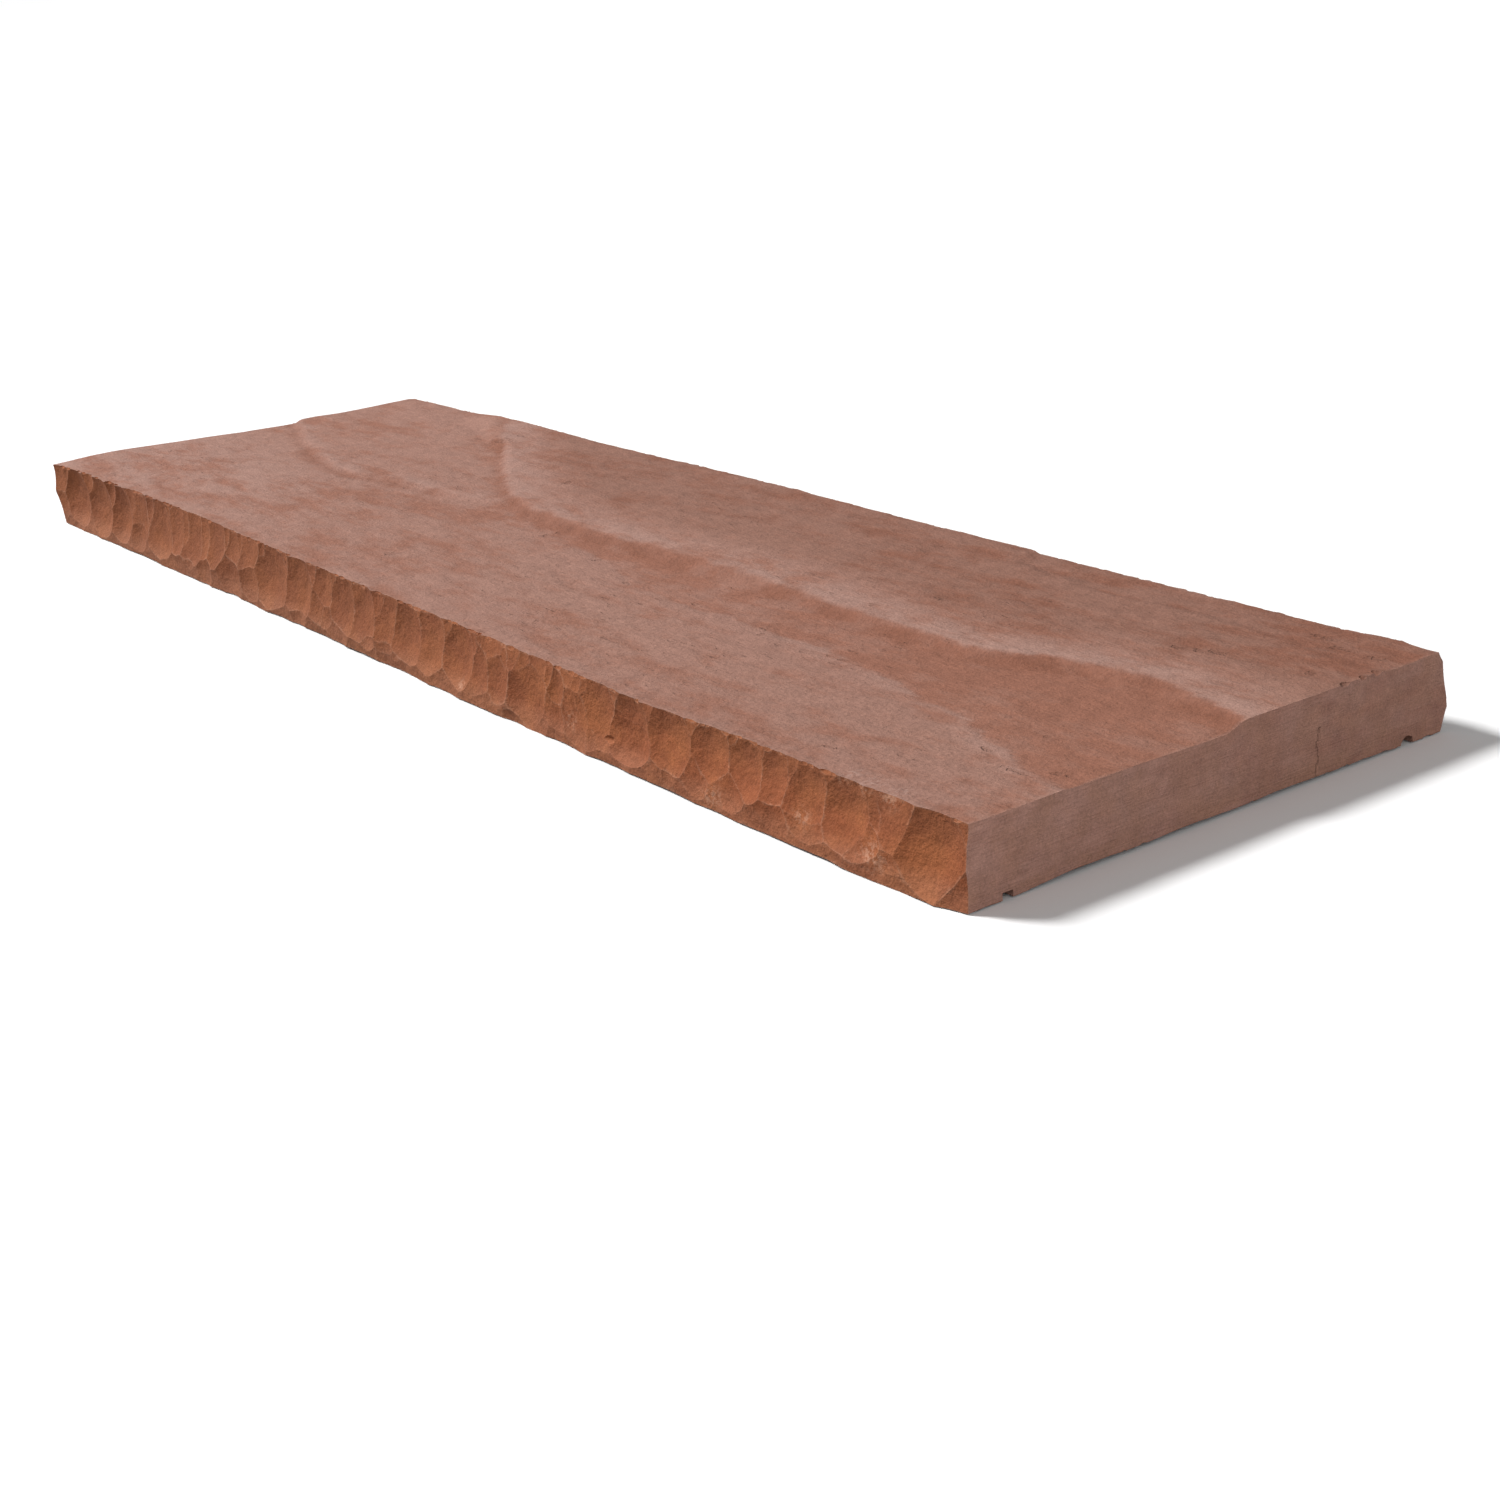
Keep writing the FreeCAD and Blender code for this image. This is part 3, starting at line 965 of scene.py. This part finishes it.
    def build(self, finishes: dict[Skin, bpy.types.Material]) -> bpy.types.Object:
        """Works the stone from the block.

        Args:
            finishes: Material of each kind of surface.

        Returns:
            The finished piece.
        """
        stone = self.build_block()
        stone.data.materials.append(finishes[Skin.SAWN])
        balls = [self.build_ball(level) for level in self.ball_levels]
        number = 1
        for edge in self.edges():
            number = self.cut(stone, self.build_bites(edge, *balls), finishes[Skin.DRESSED], number)
            log.info("%s edge dressed: %d faces", edge.side.name.lower(), len(stone.data.polygons))
        for ball in balls:
            bpy.data.objects.remove(ball)
        blows = self.corner_breaks + self.edge_notches
        number = self.cut(stone, self.build_breaks(blows), finishes[Skin.DRESSED], number)
        number = self.cut(stone, [self.build_bed_waste()], finishes[Skin.BED], number)
        number = self.cut(stone, self.build_grooves(), finishes[Skin.SAWN], number)
        number = self.cut(stone, [self.split.build_waste()], finishes[Skin.SPLIT], number)
        number = self.cut(stone, self.build_breaks(self.end_nicks), finishes[Skin.SPLIT], number)
        number = self.cut(stone, self.build_breaks(self.crumbled()), finishes[Skin.BED], number)
        self.cut(stone, self.build_breaks(self.serrated()), finishes[Skin.DRESSED], number)
        self.clean(stone)
        self.paint(stone, self.crease(stone))
        return stone


class Graph:
    """A node tree with short calls that add nodes and join them."""

    def __init__(self, tree: bpy.types.NodeTree) -> None:
        """Works on an emptied tree."""
        self.tree = tree
        tree.nodes.clear()

    def add(self, kind: str, **settings: object) -> bpy.types.Node:
        """Adds a node and sets its properties."""
        node = self.tree.nodes.new(kind)
        for name, value in settings.items():
            setattr(node, name, value)
        return node

    def feed(self, socket: Socket, value: object) -> None:
        """Joins an output to a socket, or sets the socket to a plain value."""
        if isinstance(value, bpy.types.NodeSocket):
            self.tree.links.new(value, socket)
        elif isinstance(value, tuple) and len(value) == 3 and socket.type == "RGBA":
            socket.default_value = (*value, 1.0)
        else:
            socket.default_value = value

    def place(self, scale: Triple = (1.0, 1.0, 1.0)) -> Socket:
        """Object coordinates, stretched."""
        coordinates = self.add("ShaderNodeTexCoord").outputs["Object"]
        mapping = self.add("ShaderNodeMapping")
        self.feed(mapping.inputs["Vector"], coordinates)
        self.feed(mapping.inputs["Scale"], scale)
        return mapping.outputs["Vector"]

    def noise(self, where: Socket, scale: Value, detail: float = 3.0, roughness: float = 0.55) -> Socket:
        """Cloudy value from about 0.25 to 0.75."""
        node = self.add("ShaderNodeTexNoise")
        self.feed(node.inputs["Vector"], where)
        self.feed(node.inputs["Scale"], scale)
        self.feed(node.inputs["Detail"], detail)
        self.feed(node.inputs["Roughness"], roughness)
        return node.outputs["Fac"]

    def maths(self, operation: str, first: Value, second: Value = 0.0) -> Socket:
        """One sum."""
        node = self.add("ShaderNodeMath", operation=operation)
        self.feed(node.inputs[0], first)
        self.feed(node.inputs[1], second)
        return node.outputs[0]

    def blend(self, *parts: tuple[Socket, float]) -> Socket:
        """Weighted sum of values."""
        total = self.maths("MULTIPLY", *parts[0])
        for value, weight in parts[1:]:
            total = self.maths("ADD", total, self.maths("MULTIPLY", value, weight))
        return total

    def span(
        self, value: Value, low: float, high: float, to_low: float = 0.0, to_high: float = 1.0
    ) -> Socket:
        """Spreads one range over another, held at its ends."""
        node = self.add("ShaderNodeMapRange", interpolation_type="SMOOTHSTEP")
        self.feed(node.inputs["Value"], value)
        for name, number in (("From Min", low), ("From Max", high), ("To Min", to_low), ("To Max", to_high)):
            self.feed(node.inputs[name], number)
        return node.outputs["Result"]

    def mix(self, share: Value, first: object, second: object, blend: str = "MIX") -> Socket:
        """Mixes two colours."""
        node = self.add("ShaderNodeMix", data_type="RGBA", blend_type=blend)
        self.feed(node.inputs[0], share)
        self.feed(node.inputs[6], first)
        self.feed(node.inputs[7], second)
        return node.outputs[2]

    def axis(self, name: str) -> Socket:
        """One of the object coordinates."""
        node = self.add("ShaderNodeSeparateXYZ")
        self.feed(node.inputs[0], self.add("ShaderNodeTexCoord").outputs["Object"])
        return node.outputs[name]

    def spot(self, middle: Triple, size: Triple) -> Socket:
        """Round mark.

        Args:
            middle: Its place in millimetres.
            size: Half sizes in millimetres.

        Returns:
            A value that is 1 at the middle and 0 at the rim.
        """
        away = self.add("ShaderNodeVectorMath", operation="SUBTRACT")
        self.feed(away.inputs[0], self.add("ShaderNodeTexCoord").outputs["Object"])
        self.feed(away.inputs[1], tuple(part * MM for part in middle))
        scaled = self.add("ShaderNodeVectorMath", operation="MULTIPLY")
        self.feed(scaled.inputs[0], away.outputs["Vector"])
        self.feed(scaled.inputs[1], tuple(1.0 / (part * MM) for part in size))
        far = self.add("ShaderNodeVectorMath", operation="LENGTH")
        self.feed(far.inputs[0], scaled.outputs["Vector"])
        stray = self.span(self.noise(self.place(), 260.0, 3.0), 0.25, 0.75, -0.7, 0.7)
        return self.span(self.maths("ADD", far.outputs["Value"], stray), 0.45, 0.95, 1.0, 0.0)

    def shade(self, value: Socket) -> Socket:
        """Grey of a value."""
        node = self.add("ShaderNodeCombineColor")
        for channel in node.inputs:
            self.feed(channel, value)
        return node.outputs["Color"]

    def mask(self, mask: Mask) -> Socket:
        """Value painted on the mesh."""
        return self.add("ShaderNodeAttribute", attribute_name=mask.value).outputs["Fac"]

    def group(self, tree: bpy.types.NodeTree, **values: Value) -> bpy.types.Node:
        """Places a shared effect with its own values."""
        node = self.add("ShaderNodeGroup", node_tree=tree)
        for name, value in values.items():
            self.feed(node.inputs[name.replace("_", " ").title()], value)
        return node


class StoneEffects:
    """Effects that all finishes of the stone share, as node groups."""

    def __init__(self) -> None:
        """Builds the node groups."""
        self.grain = self.build_grain()
        self.wear_and_highlight = self.build_wear_and_highlight()

    def start(
        self, name: str, given: dict[str, float], results: Sequence[str]
    ) -> tuple[Graph, bpy.types.Node, bpy.types.Node]:
        """Makes an empty node group.

        Args:
            name: Its name.
            given: Names and usual values of its inputs.
            results: Names of its outputs.

        Returns:
            The graph of its nodes, its input node and its output node.
        """
        tree = bpy.data.node_groups.new(name, "ShaderNodeTree")
        for title, usual in given.items():
            socket = tree.interface.new_socket(title, in_out="INPUT", socket_type="NodeSocketFloat")
            socket.default_value = usual
        for title in results:
            tree.interface.new_socket(title, in_out="OUTPUT", socket_type="NodeSocketFloat")
        graph = Graph(tree)
        return graph, graph.add("NodeGroupInput"), graph.add("NodeGroupOutput")

    def build_grain(self) -> bpy.types.NodeTree:
        """Sand grains and soft mottling: a shade to multiply a colour by, and a height in millimetres."""
        usual = {"Fineness": 700.0, "Contrast": 0.2}
        graph, given, result = self.start("Stone Grain", usual, ("Shade", "Height"))
        where = graph.place()
        sand = graph.noise(where, given.outputs["Fineness"], 2.0, 0.7)
        mottle = graph.noise(where, graph.maths("MULTIPLY", given.outputs["Fineness"], 0.16), 4.0, 0.6)
        off_middle = graph.maths("SUBTRACT", graph.blend((sand, 0.6), (mottle, 0.4)), 0.5)
        strength = graph.maths("MULTIPLY", given.outputs["Contrast"], 4.0)
        shade = graph.maths("ADD", 1.0, graph.maths("MULTIPLY", off_middle, strength))
        graph.feed(result.inputs["Shade"], shade)
        graph.feed(result.inputs["Height"], graph.blend((sand, 0.35), (mottle, 0.9)))
        return graph.tree

    def build_wear_and_highlight(self) -> bpy.types.NodeTree:
        """Pale, bruised stone along broken ridges, partly a painted highlight on the convex ridges, and where
        a tool struck, as a mask.
        """
        graph, given, result = self.start("Ridge Wear And Highlight", {"Amount": 0.6}, ("Mask",))
        patchy = graph.span(graph.noise(graph.place(), 60.0, 4.0), 0.36, 0.66, 0.15, 1.0)
        worn = graph.maths("MULTIPLY", graph.mask(Mask.RIDGE), patchy)
        worn = graph.maths("MULTIPLY", worn, given.outputs["Amount"])
        broken = graph.span(graph.noise(graph.place(), 330.0, 4.0, 0.7), 0.44, 0.60)
        struck = graph.maths("MULTIPLY", graph.mask(Mask.BRUISE), broken)
        graph.feed(result.inputs["Mask"], graph.maths("MAXIMUM", worn, struck))
        return graph.tree


@dataclass(frozen=True)
class Finish:
    """A finish of the stone: a principled shader with bump in millimetres."""

    effects: StoneEffects

    def start(self, skin: Skin) -> tuple[bpy.types.Material, Graph]:
        """Makes an empty material and the graph of its nodes."""
        material = bpy.data.materials.new(skin.value)
        material.use_nodes = True
        return material, Graph(material.node_tree)

    def close(self, graph: Graph, colour: Socket, height: Socket, rough: Socket) -> None:
        """Adds the shader.

        Args:
            graph: Nodes of the material.
            colour: Base colour.
            height: Relief in millimetres.
            rough: Roughness.
        """
        bump = graph.add("ShaderNodeBump")
        graph.feed(bump.inputs["Strength"], 1.0)
        graph.feed(bump.inputs["Distance"], MM)
        graph.feed(bump.inputs["Height"], height)
        shader = graph.add("ShaderNodeBsdfPrincipled")
        graph.feed(shader.inputs["Base Color"], colour)
        graph.feed(shader.inputs["Roughness"], rough)
        graph.feed(shader.inputs["Normal"], bump.outputs["Normal"])
        graph.feed(shader.inputs["Specular IOR Level"], 0.25)
        output = graph.add("ShaderNodeOutputMaterial")
        graph.feed(output.inputs["Surface"], shader.outputs["BSDF"])


@dataclass(frozen=True)
class SplitTopFinish(Finish):
    """Natural split face: brown stone under a mauve bloom, pale along the ledges, darker below them, with a
    painted sheen towards the left front corner and painted shade towards the right.
    """

    clay: Colour = (0.305, 0.128, 0.082)
    mauve: Colour = (0.348, 0.184, 0.140)
    umber: Colour = (0.225, 0.086, 0.050)
    pale: Colour = (0.405, 0.242, 0.198)
    pit: Colour = (0.170, 0.072, 0.045)
    dim: Colour = (0.82, 0.77, 0.73)
    nicks: tuple[tuple[float, float, float, float], ...] = (
        (32, -21, 4, 3), (87, -37, 4, 2), (217, -38, 3, 2), (228, -46, 3, 3), (293, -46, 3, 2),
        (-41, -11, 3, 3), (-42, -2, 3, 3), (447, -55, 3, 2), (440, -85, 4, 2), (468, -95, 8, 2),
        (484, -84, 5, 2), (388, -130, 5, 2), (-72, -103, 4, 4), (-134, 65, 3, 4), (-291, 106, 9, 2),
        (256, 51, 6, 2), (406, 73, 5, 3), (417, 75, 4, 3), (426, 78, 5, 3), (478, 84, 4, 3),
        (445, 132, 6, 3), (463, 124, 6, 3), (485, 124, 4, 3),
    )

    def material(self) -> bpy.types.Material:
        """Builds the material."""
        material, graph = self.start(Skin.SPLIT)
        broad = graph.noise(graph.place((1.0, 2.4, 1.0)), 6.0, 4.0)
        mottle = graph.noise(graph.place((1.0, 1.7, 1.0)), 34.0, 6.0, 0.65)
        streak = graph.noise(graph.place((1.0, 4.0, 1.0)), 17.0, 6.0, 0.62)
        flow = graph.blend((broad, 0.30), (mottle, 0.36), (streak, 0.34))
        grain = graph.group(self.effects.grain, fineness=620.0, contrast=0.30)
        colour = graph.mix(graph.span(flow, 0.38, 0.56, 0.15, 1.0), self.clay, self.mauve)
        # Painted sheen: the top is mixed towards pale at the left front corner, where light glances off the
        # far part of the face.
        far = graph.span(graph.axis("X"), -0.42, -0.12, 0.5, 0.0)
        corner = graph.maths("MULTIPLY", far, graph.span(graph.axis("Y"), -0.08, 0.04, 1.0, 0.0))
        colour = graph.mix(graph.maths("MULTIPLY", corner, graph.span(flow, 0.40, 0.56)), colour, self.pale)
        hollow = self.ragged(graph, Mask.HOLLOW, flow)
        colour = graph.mix(graph.maths("MULTIPLY", hollow, 0.92), colour, self.clay)
        colour = graph.mix(graph.mask(Mask.BACK), colour, graph.mix(1.0, colour, self.dim, "MULTIPLY"))
        # Painted shade: the top is dimmed towards the right end.
        right = graph.span(graph.axis("X"), 0.02, 0.38, 0.0, 0.25)
        colour = graph.mix(right, colour, graph.mix(1.0, colour, self.dim, "MULTIPLY"))
        rim = graph.maths("MULTIPLY", graph.mask(Mask.RIM), graph.span(flow, 0.40, 0.56, 0.10, 0.60))
        colour = graph.mix(rim, colour, self.pale)
        scarp = graph.maths("MULTIPLY", graph.mask(Mask.SCARP), graph.span(mottle, 0.36, 0.62, 0.95, 0.40))
        colour = graph.mix(scarp, colour, self.umber)
        # Pale on worn ridges and bruises, partly a painted highlight on the convex ridges.
        wear_and_highlight = graph.group(self.effects.wear_and_highlight, amount=0.40).outputs["Mask"]
        colour = graph.mix(wear_and_highlight, colour, self.pale)
        pits = self.pits(graph)
        colour = graph.mix(graph.maths("MULTIPLY", pits, 0.36), colour, self.pit)
        colour = graph.mix(1.0, colour, graph.shade(grain.outputs["Shade"]), "MULTIPLY")
        height = graph.blend((grain.outputs["Height"], 1.5), (mottle, 1.9), (streak, 1.2), (pits, -0.6))
        self.close(graph, colour, height, graph.span(flow, 0.35, 0.65, 0.74, 0.88))
        return material

    def ragged(self, graph: Graph, mask: Mask, flow: Socket) -> Socket:
        """A painted mask whose rim follows the mottling of the stone.

        Args:
            graph: Nodes of the material.
            mask: Mask to be broken up.
            flow: Mottling, about 0.5 on the whole.

        Returns:
            The mask with a ragged rim.
        """
        stray = graph.span(flow, 0.38, 0.62, 0.45, -0.45)
        return graph.span(graph.maths("ADD", graph.mask(mask), stray), 0.05, 1.05)

    def pits(self, graph: Graph) -> Socket:
        """Nicks at their places and short strokes scattered over the face, as a mask."""
        strokes = graph.noise(graph.place((1.0, 3.2, 1.0)), 80.0, 3.0, 0.5)
        area = graph.span(graph.noise(graph.place(), 11.0, 2.0), 0.50, 0.62, 0.0, 0.7)
        pits = graph.maths("MULTIPLY", graph.span(strokes, 0.64, 0.70), area)
        for along, across, length, width in self.nicks:
            nick = graph.spot((along, across, 42.0), (length, width, 40.0))
            pits = graph.maths("MAXIMUM", pits, nick)
        return pits


@dataclass(frozen=True)
class DressedEdgeFinish(Finish):
    """Freshly broken face: orange brown with painted shade darker to the left and under the top arris towards
    the right, painted light paler at its foot, pale on ridges (worn, partly a painted highlight) and on
    bruises.
    """

    rust: Colour = (0.317, 0.095, 0.038)
    ochre: Colour = (0.400, 0.133, 0.052)
    umber: Colour = (0.234, 0.083, 0.040)
    pale: Colour = (0.526, 0.263, 0.168)

    def material(self) -> bpy.types.Material:
        """Builds the material."""
        material, graph = self.start(Skin.DRESSED)
        where = graph.place()
        patch = graph.noise(where, 34.0, 4.0)
        grain = graph.group(self.effects.grain, fineness=560.0, contrast=0.30)
        colour = graph.mix(graph.span(patch, 0.36, 0.64), self.rust, self.ochre)
        # Painted shade: umber darkens the face to the left and under the top arris towards the right.
        shaded = graph.span(graph.axis("X"), -0.10, 0.40, 0.60, 0.0)
        under = graph.span(graph.axis("Z"), 0.020, 0.036, 0.0, 0.42)
        under = graph.maths("MULTIPLY", under, graph.span(graph.axis("X"), -0.15, 0.15))
        colour = graph.mix(graph.maths("MAXIMUM", shaded, under), colour, self.umber)
        # Painted light: the lower band of the face, which tilts down, is mixed towards pale.
        foot = graph.span(graph.axis("Z"), 0.006, 0.016, 0.18, 0.0)
        colour = graph.mix(foot, colour, self.pale)
        # Pale on worn ridges and bruises, partly a painted highlight on the convex ridges.
        wear_and_highlight = graph.group(self.effects.wear_and_highlight, amount=0.48).outputs["Mask"]
        colour = graph.mix(wear_and_highlight, colour, self.pale)
        colour = graph.mix(1.0, colour, graph.shade(grain.outputs["Shade"]), "MULTIPLY")
        hackle = graph.noise(graph.place((1.0, 1.0, 0.8)), 120.0, 5.0, 0.6)
        height = graph.blend((grain.outputs["Height"], 1.5), (patch, 1.0), (hackle, 0.9))
        self.close(graph, colour, height, graph.span(patch, 0.35, 0.65, 0.84, 0.95))
        return material


@dataclass(frozen=True)
class SawnFinish(Finish):
    """Sawn face: dull grey brown with fine lines along the bedding, a painted warm reflection towards the
    bottom, and a hair crack in the right end.
    """

    dull: Colour = (0.446, 0.218, 0.166)
    light: Colour = (0.516, 0.285, 0.228)
    warm: Colour = (0.490, 0.250, 0.170)
    grey: Colour = (0.615, 0.338, 0.272)
    crack: Colour = (0.200, 0.095, 0.065)

    def material(self) -> bpy.types.Material:
        """Builds the material."""
        material, graph = self.start(Skin.SAWN)
        bedding = graph.noise(graph.place((1.0, 1.0, 9.0)), 24.0, 6.0, 0.65)
        cloud = graph.noise(graph.place((1.0, 1.0, 1.6)), 26.0, 4.0)
        grain = graph.group(self.effects.grain, fineness=760.0, contrast=0.34)
        flow = graph.blend((bedding, 0.35), (cloud, 0.65))
        colour = graph.mix(graph.span(flow, 0.36, 0.64), self.dull, self.light)
        lines = graph.noise(graph.place((1.0, 0.6, 18.0)), 60.0, 3.0, 0.6)
        near = graph.span(graph.axis("Y"), -0.13, 0.11, 1.0, 0.0)
        near = graph.maths("MULTIPLY", near, graph.span(lines, 0.32, 0.68, 0.35, 0.95))
        colour = graph.mix(near, colour, self.grey)
        # Painted reflection: warmer towards the bottom of the sawn faces, as from warm light thrown up from
        # below.
        low = graph.span(graph.axis("Z"), 0.003, 0.018, 1.0, 0.0)
        low = graph.maths("MULTIPLY", low, graph.span(cloud, 0.4, 0.6))
        colour = graph.mix(graph.maths("MULTIPLY", low, 0.7), colour, self.warm)
        # Warm on worn ridges and bruises, partly a painted highlight on the convex ridges.
        wear_and_highlight = graph.group(self.effects.wear_and_highlight, amount=0.5).outputs["Mask"]
        colour = graph.mix(wear_and_highlight, colour, self.warm)
        split = self.split(graph)
        colour = graph.mix(graph.maths("MULTIPLY", split, 0.45), colour, self.crack)
        colour = graph.mix(1.0, colour, graph.shade(grain.outputs["Shade"]), "MULTIPLY")
        height = graph.blend((grain.outputs["Height"], 0.6), (bedding, 0.5), (lines, 0.5), (split, -0.6))
        self.close(graph, colour, height, graph.span(bedding, 0.35, 0.65, 0.78, 0.88))
        return material

    def split(self, graph: Graph) -> Socket:
        """Hair crack up the right end, as a mask."""
        height = graph.axis("Z")
        wander = graph.span(graph.noise(graph.place(), 140.0, 3.0), 0.3, 0.7, -0.001, 0.001)
        line = graph.maths("ADD", 0.0635, wander)
        away = graph.maths("ABSOLUTE", graph.maths("SUBTRACT", graph.axis("Y"), line))
        crack = graph.span(away, 0.0001, 0.0005, 0.8, 0.0)
        crack = graph.maths("MULTIPLY", crack, graph.span(height, 0.022, 0.024, 1.0, 0.0))
        crack = graph.maths("MULTIPLY", crack, graph.span(graph.axis("X"), 0.490, 0.495))
        return graph.maths("MAXIMUM", crack, graph.spot((500.0, 64.0, 24.5), (20.0, 1.6, 2.6)))


@dataclass(frozen=True)
class BedFinish(Finish):
    """Split underside, plain and a little dusty."""

    brown: Colour = (0.290, 0.135, 0.090)
    dust: Colour = (0.370, 0.215, 0.165)

    def material(self) -> bpy.types.Material:
        """Builds the material."""
        material, graph = self.start(Skin.BED)
        cloud = graph.noise(graph.place((1.0, 2.0, 1.0)), 12.0, 5.0)
        grain = graph.group(self.effects.grain, fineness=600.0, contrast=0.18)
        colour = graph.mix(graph.span(cloud, 0.35, 0.65), self.brown, self.dust)
        colour = graph.mix(1.0, colour, graph.shade(grain.outputs["Shade"]), "MULTIPLY")
        self.close(graph, colour, grain.outputs["Height"], graph.span(cloud, 0.35, 0.65, 0.85, 0.95))
        return material


@dataclass
class Studio:
    """Pale floor, soft light and the camera, which stands where the photograph was taken from."""

    eye: Triple = (1.1417, -0.7147, 0.3838)
    ahead: Triple = (-0.7648, 0.5480, -0.3388)
    right: Triple = (0.5990, 0.7984, -0.0609)
    focal_px: float = 2280.2
    image_px: float = 1500.0
    sensor_mm: float = 36.0
    sun: Triple = (-0.65, -0.40, 0.80)
    sun_strength: float = 3.35
    sun_breadth: float = 14.0
    fill: Triple = (0.90, -0.30, 0.35)
    fill_strength: float = 0.86
    fill_breadth: float = 70.0
    sky: float = 0.22
    lamp: Triple = (-1.05, -0.55, 0.65)
    lamp_aim: Triple = (-0.3, 0.0, 0.0)
    lamp_side: float = 0.8
    lamp_power: float = 2.2
    floor_side: float = 60.0
    floor_seen: Colour = (1.0, 1.0, 1.0)
    floor_unseen: Colour = (0.30, 0.29, 0.28)

    def build_floor(self) -> None:
        """Adds the floor: near white to the camera, duller where it only throws light back."""
        deselect()
        bpy.ops.mesh.primitive_plane_add(size=self.floor_side)
        floor = named("floor")
        material = bpy.data.materials.new("floor")
        material.use_nodes = True
        graph = Graph(material.node_tree)
        seen = graph.add("ShaderNodeBsdfDiffuse")
        graph.feed(seen.inputs["Color"], self.floor_seen)
        unseen = graph.add("ShaderNodeBsdfDiffuse")
        graph.feed(unseen.inputs["Color"], self.floor_unseen)
        path = graph.add("ShaderNodeLightPath")
        either = graph.add("ShaderNodeMixShader")
        graph.feed(either.inputs[0], path.outputs["Is Camera Ray"])
        graph.feed(either.inputs[1], unseen.outputs["BSDF"])
        graph.feed(either.inputs[2], seen.outputs["BSDF"])
        output = graph.add("ShaderNodeOutputMaterial")
        graph.feed(output.inputs["Surface"], either.outputs["Shader"])
        floor.data.materials.append(material)
        floor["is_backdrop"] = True

    def add_sun(self, name: str, towards: Triple, strength: float, breadth: float) -> None:
        """Adds a light that is far away.

        Args:
            name: Name of the light.
            towards: Direction from the stone to the light.
            strength: Its strength.
            breadth: Angle in degrees that it fills in the sky.
        """
        deselect()
        bpy.ops.object.light_add(type="SUN", location=(0.0, 0.0, 3.0))
        sun = bpy.context.object
        sun.name = name
        sun.data.energy = strength
        sun.data.angle = math.radians(breadth)
        sun.rotation_euler = Vector(towards).to_track_quat("Z", "Y").to_euler()

    def build_light(self) -> None:
        """Adds a broad sun from the front left, a weak fill from the right, a lamp and a plain sky."""
        self.add_sun("key", self.sun, self.sun_strength, self.sun_breadth)
        self.add_sun("fill", self.fill, self.fill_strength, self.fill_breadth)
        deselect()
        bpy.ops.object.light_add(type="AREA", location=self.lamp)
        lamp = bpy.context.object
        lamp.name = "far_lamp"
        lamp.data.size = self.lamp_side
        lamp.data.energy = self.lamp_power
        away = Vector(self.lamp) - Vector(self.lamp_aim)
        lamp.rotation_euler = away.to_track_quat("Z", "Y").to_euler()
        world = bpy.data.worlds.new("sky")
        world.use_nodes = True
        bpy.context.scene.world = world
        graph = Graph(world.node_tree)
        path = graph.add("ShaderNodeLightPath")
        background = graph.add("ShaderNodeBackground")
        graph.feed(background.inputs["Color"], (1.0, 1.0, 1.0))
        strength = graph.span(path.outputs["Is Camera Ray"], 0.0, 1.0, self.sky, 1.0)
        graph.feed(background.inputs["Strength"], strength)
        output = graph.add("ShaderNodeOutputWorld")
        graph.feed(output.inputs["Surface"], background.outputs["Background"])

    def build_camera(self) -> None:
        """Adds the camera."""
        deselect()
        bpy.ops.object.camera_add(location=self.eye)
        camera = bpy.context.object
        ahead = Vector(self.ahead).normalized()
        right = Vector(self.right)
        right = (right - ahead * right.dot(ahead)).normalized()
        up = right.cross(ahead)
        camera.matrix_world = Matrix.Translation(self.eye) @ Matrix((right, up, -ahead)).transposed().to_4x4()
        camera.data.sensor_width = self.sensor_mm
        camera.data.lens = self.focal_px * self.sensor_mm / self.image_px
        camera.data.clip_start = 0.05
        bpy.context.scene.camera = camera

    def build(self) -> None:
        """Sets up the whole studio."""
        self.build_floor()
        self.build_light()
        self.build_camera()
        bpy.context.scene.view_settings.view_transform = "Standard"


def main() -> None:
    """Builds the coping and the studio."""
    logging.basicConfig(level=logging.INFO, format="%(name)s: %(message)s")
    solid_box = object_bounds()
    effects = StoneEffects()
    finishes = {
        Skin.SAWN: SawnFinish(effects).material(),
        Skin.SPLIT: SplitTopFinish(effects).material(),
        Skin.DRESSED: DressedEdgeFinish(effects).material(),
        Skin.BED: BedFinish(effects).material(),
    }
    stone = CopingStone().build(finishes)
    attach(stone, "root")
    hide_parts(NODE)
    stone.data.calc_loop_triangles()
    log.info("%s: %d triangles", stone.name, len(stone.data.loop_triangles))
    Studio().build()
    boxes = {"cad": solid_box, "visual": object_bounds()}
    {name: [list(corner) for corner in box] for name, box in boxes.items()}


if __name__ == "__main__":
    main()
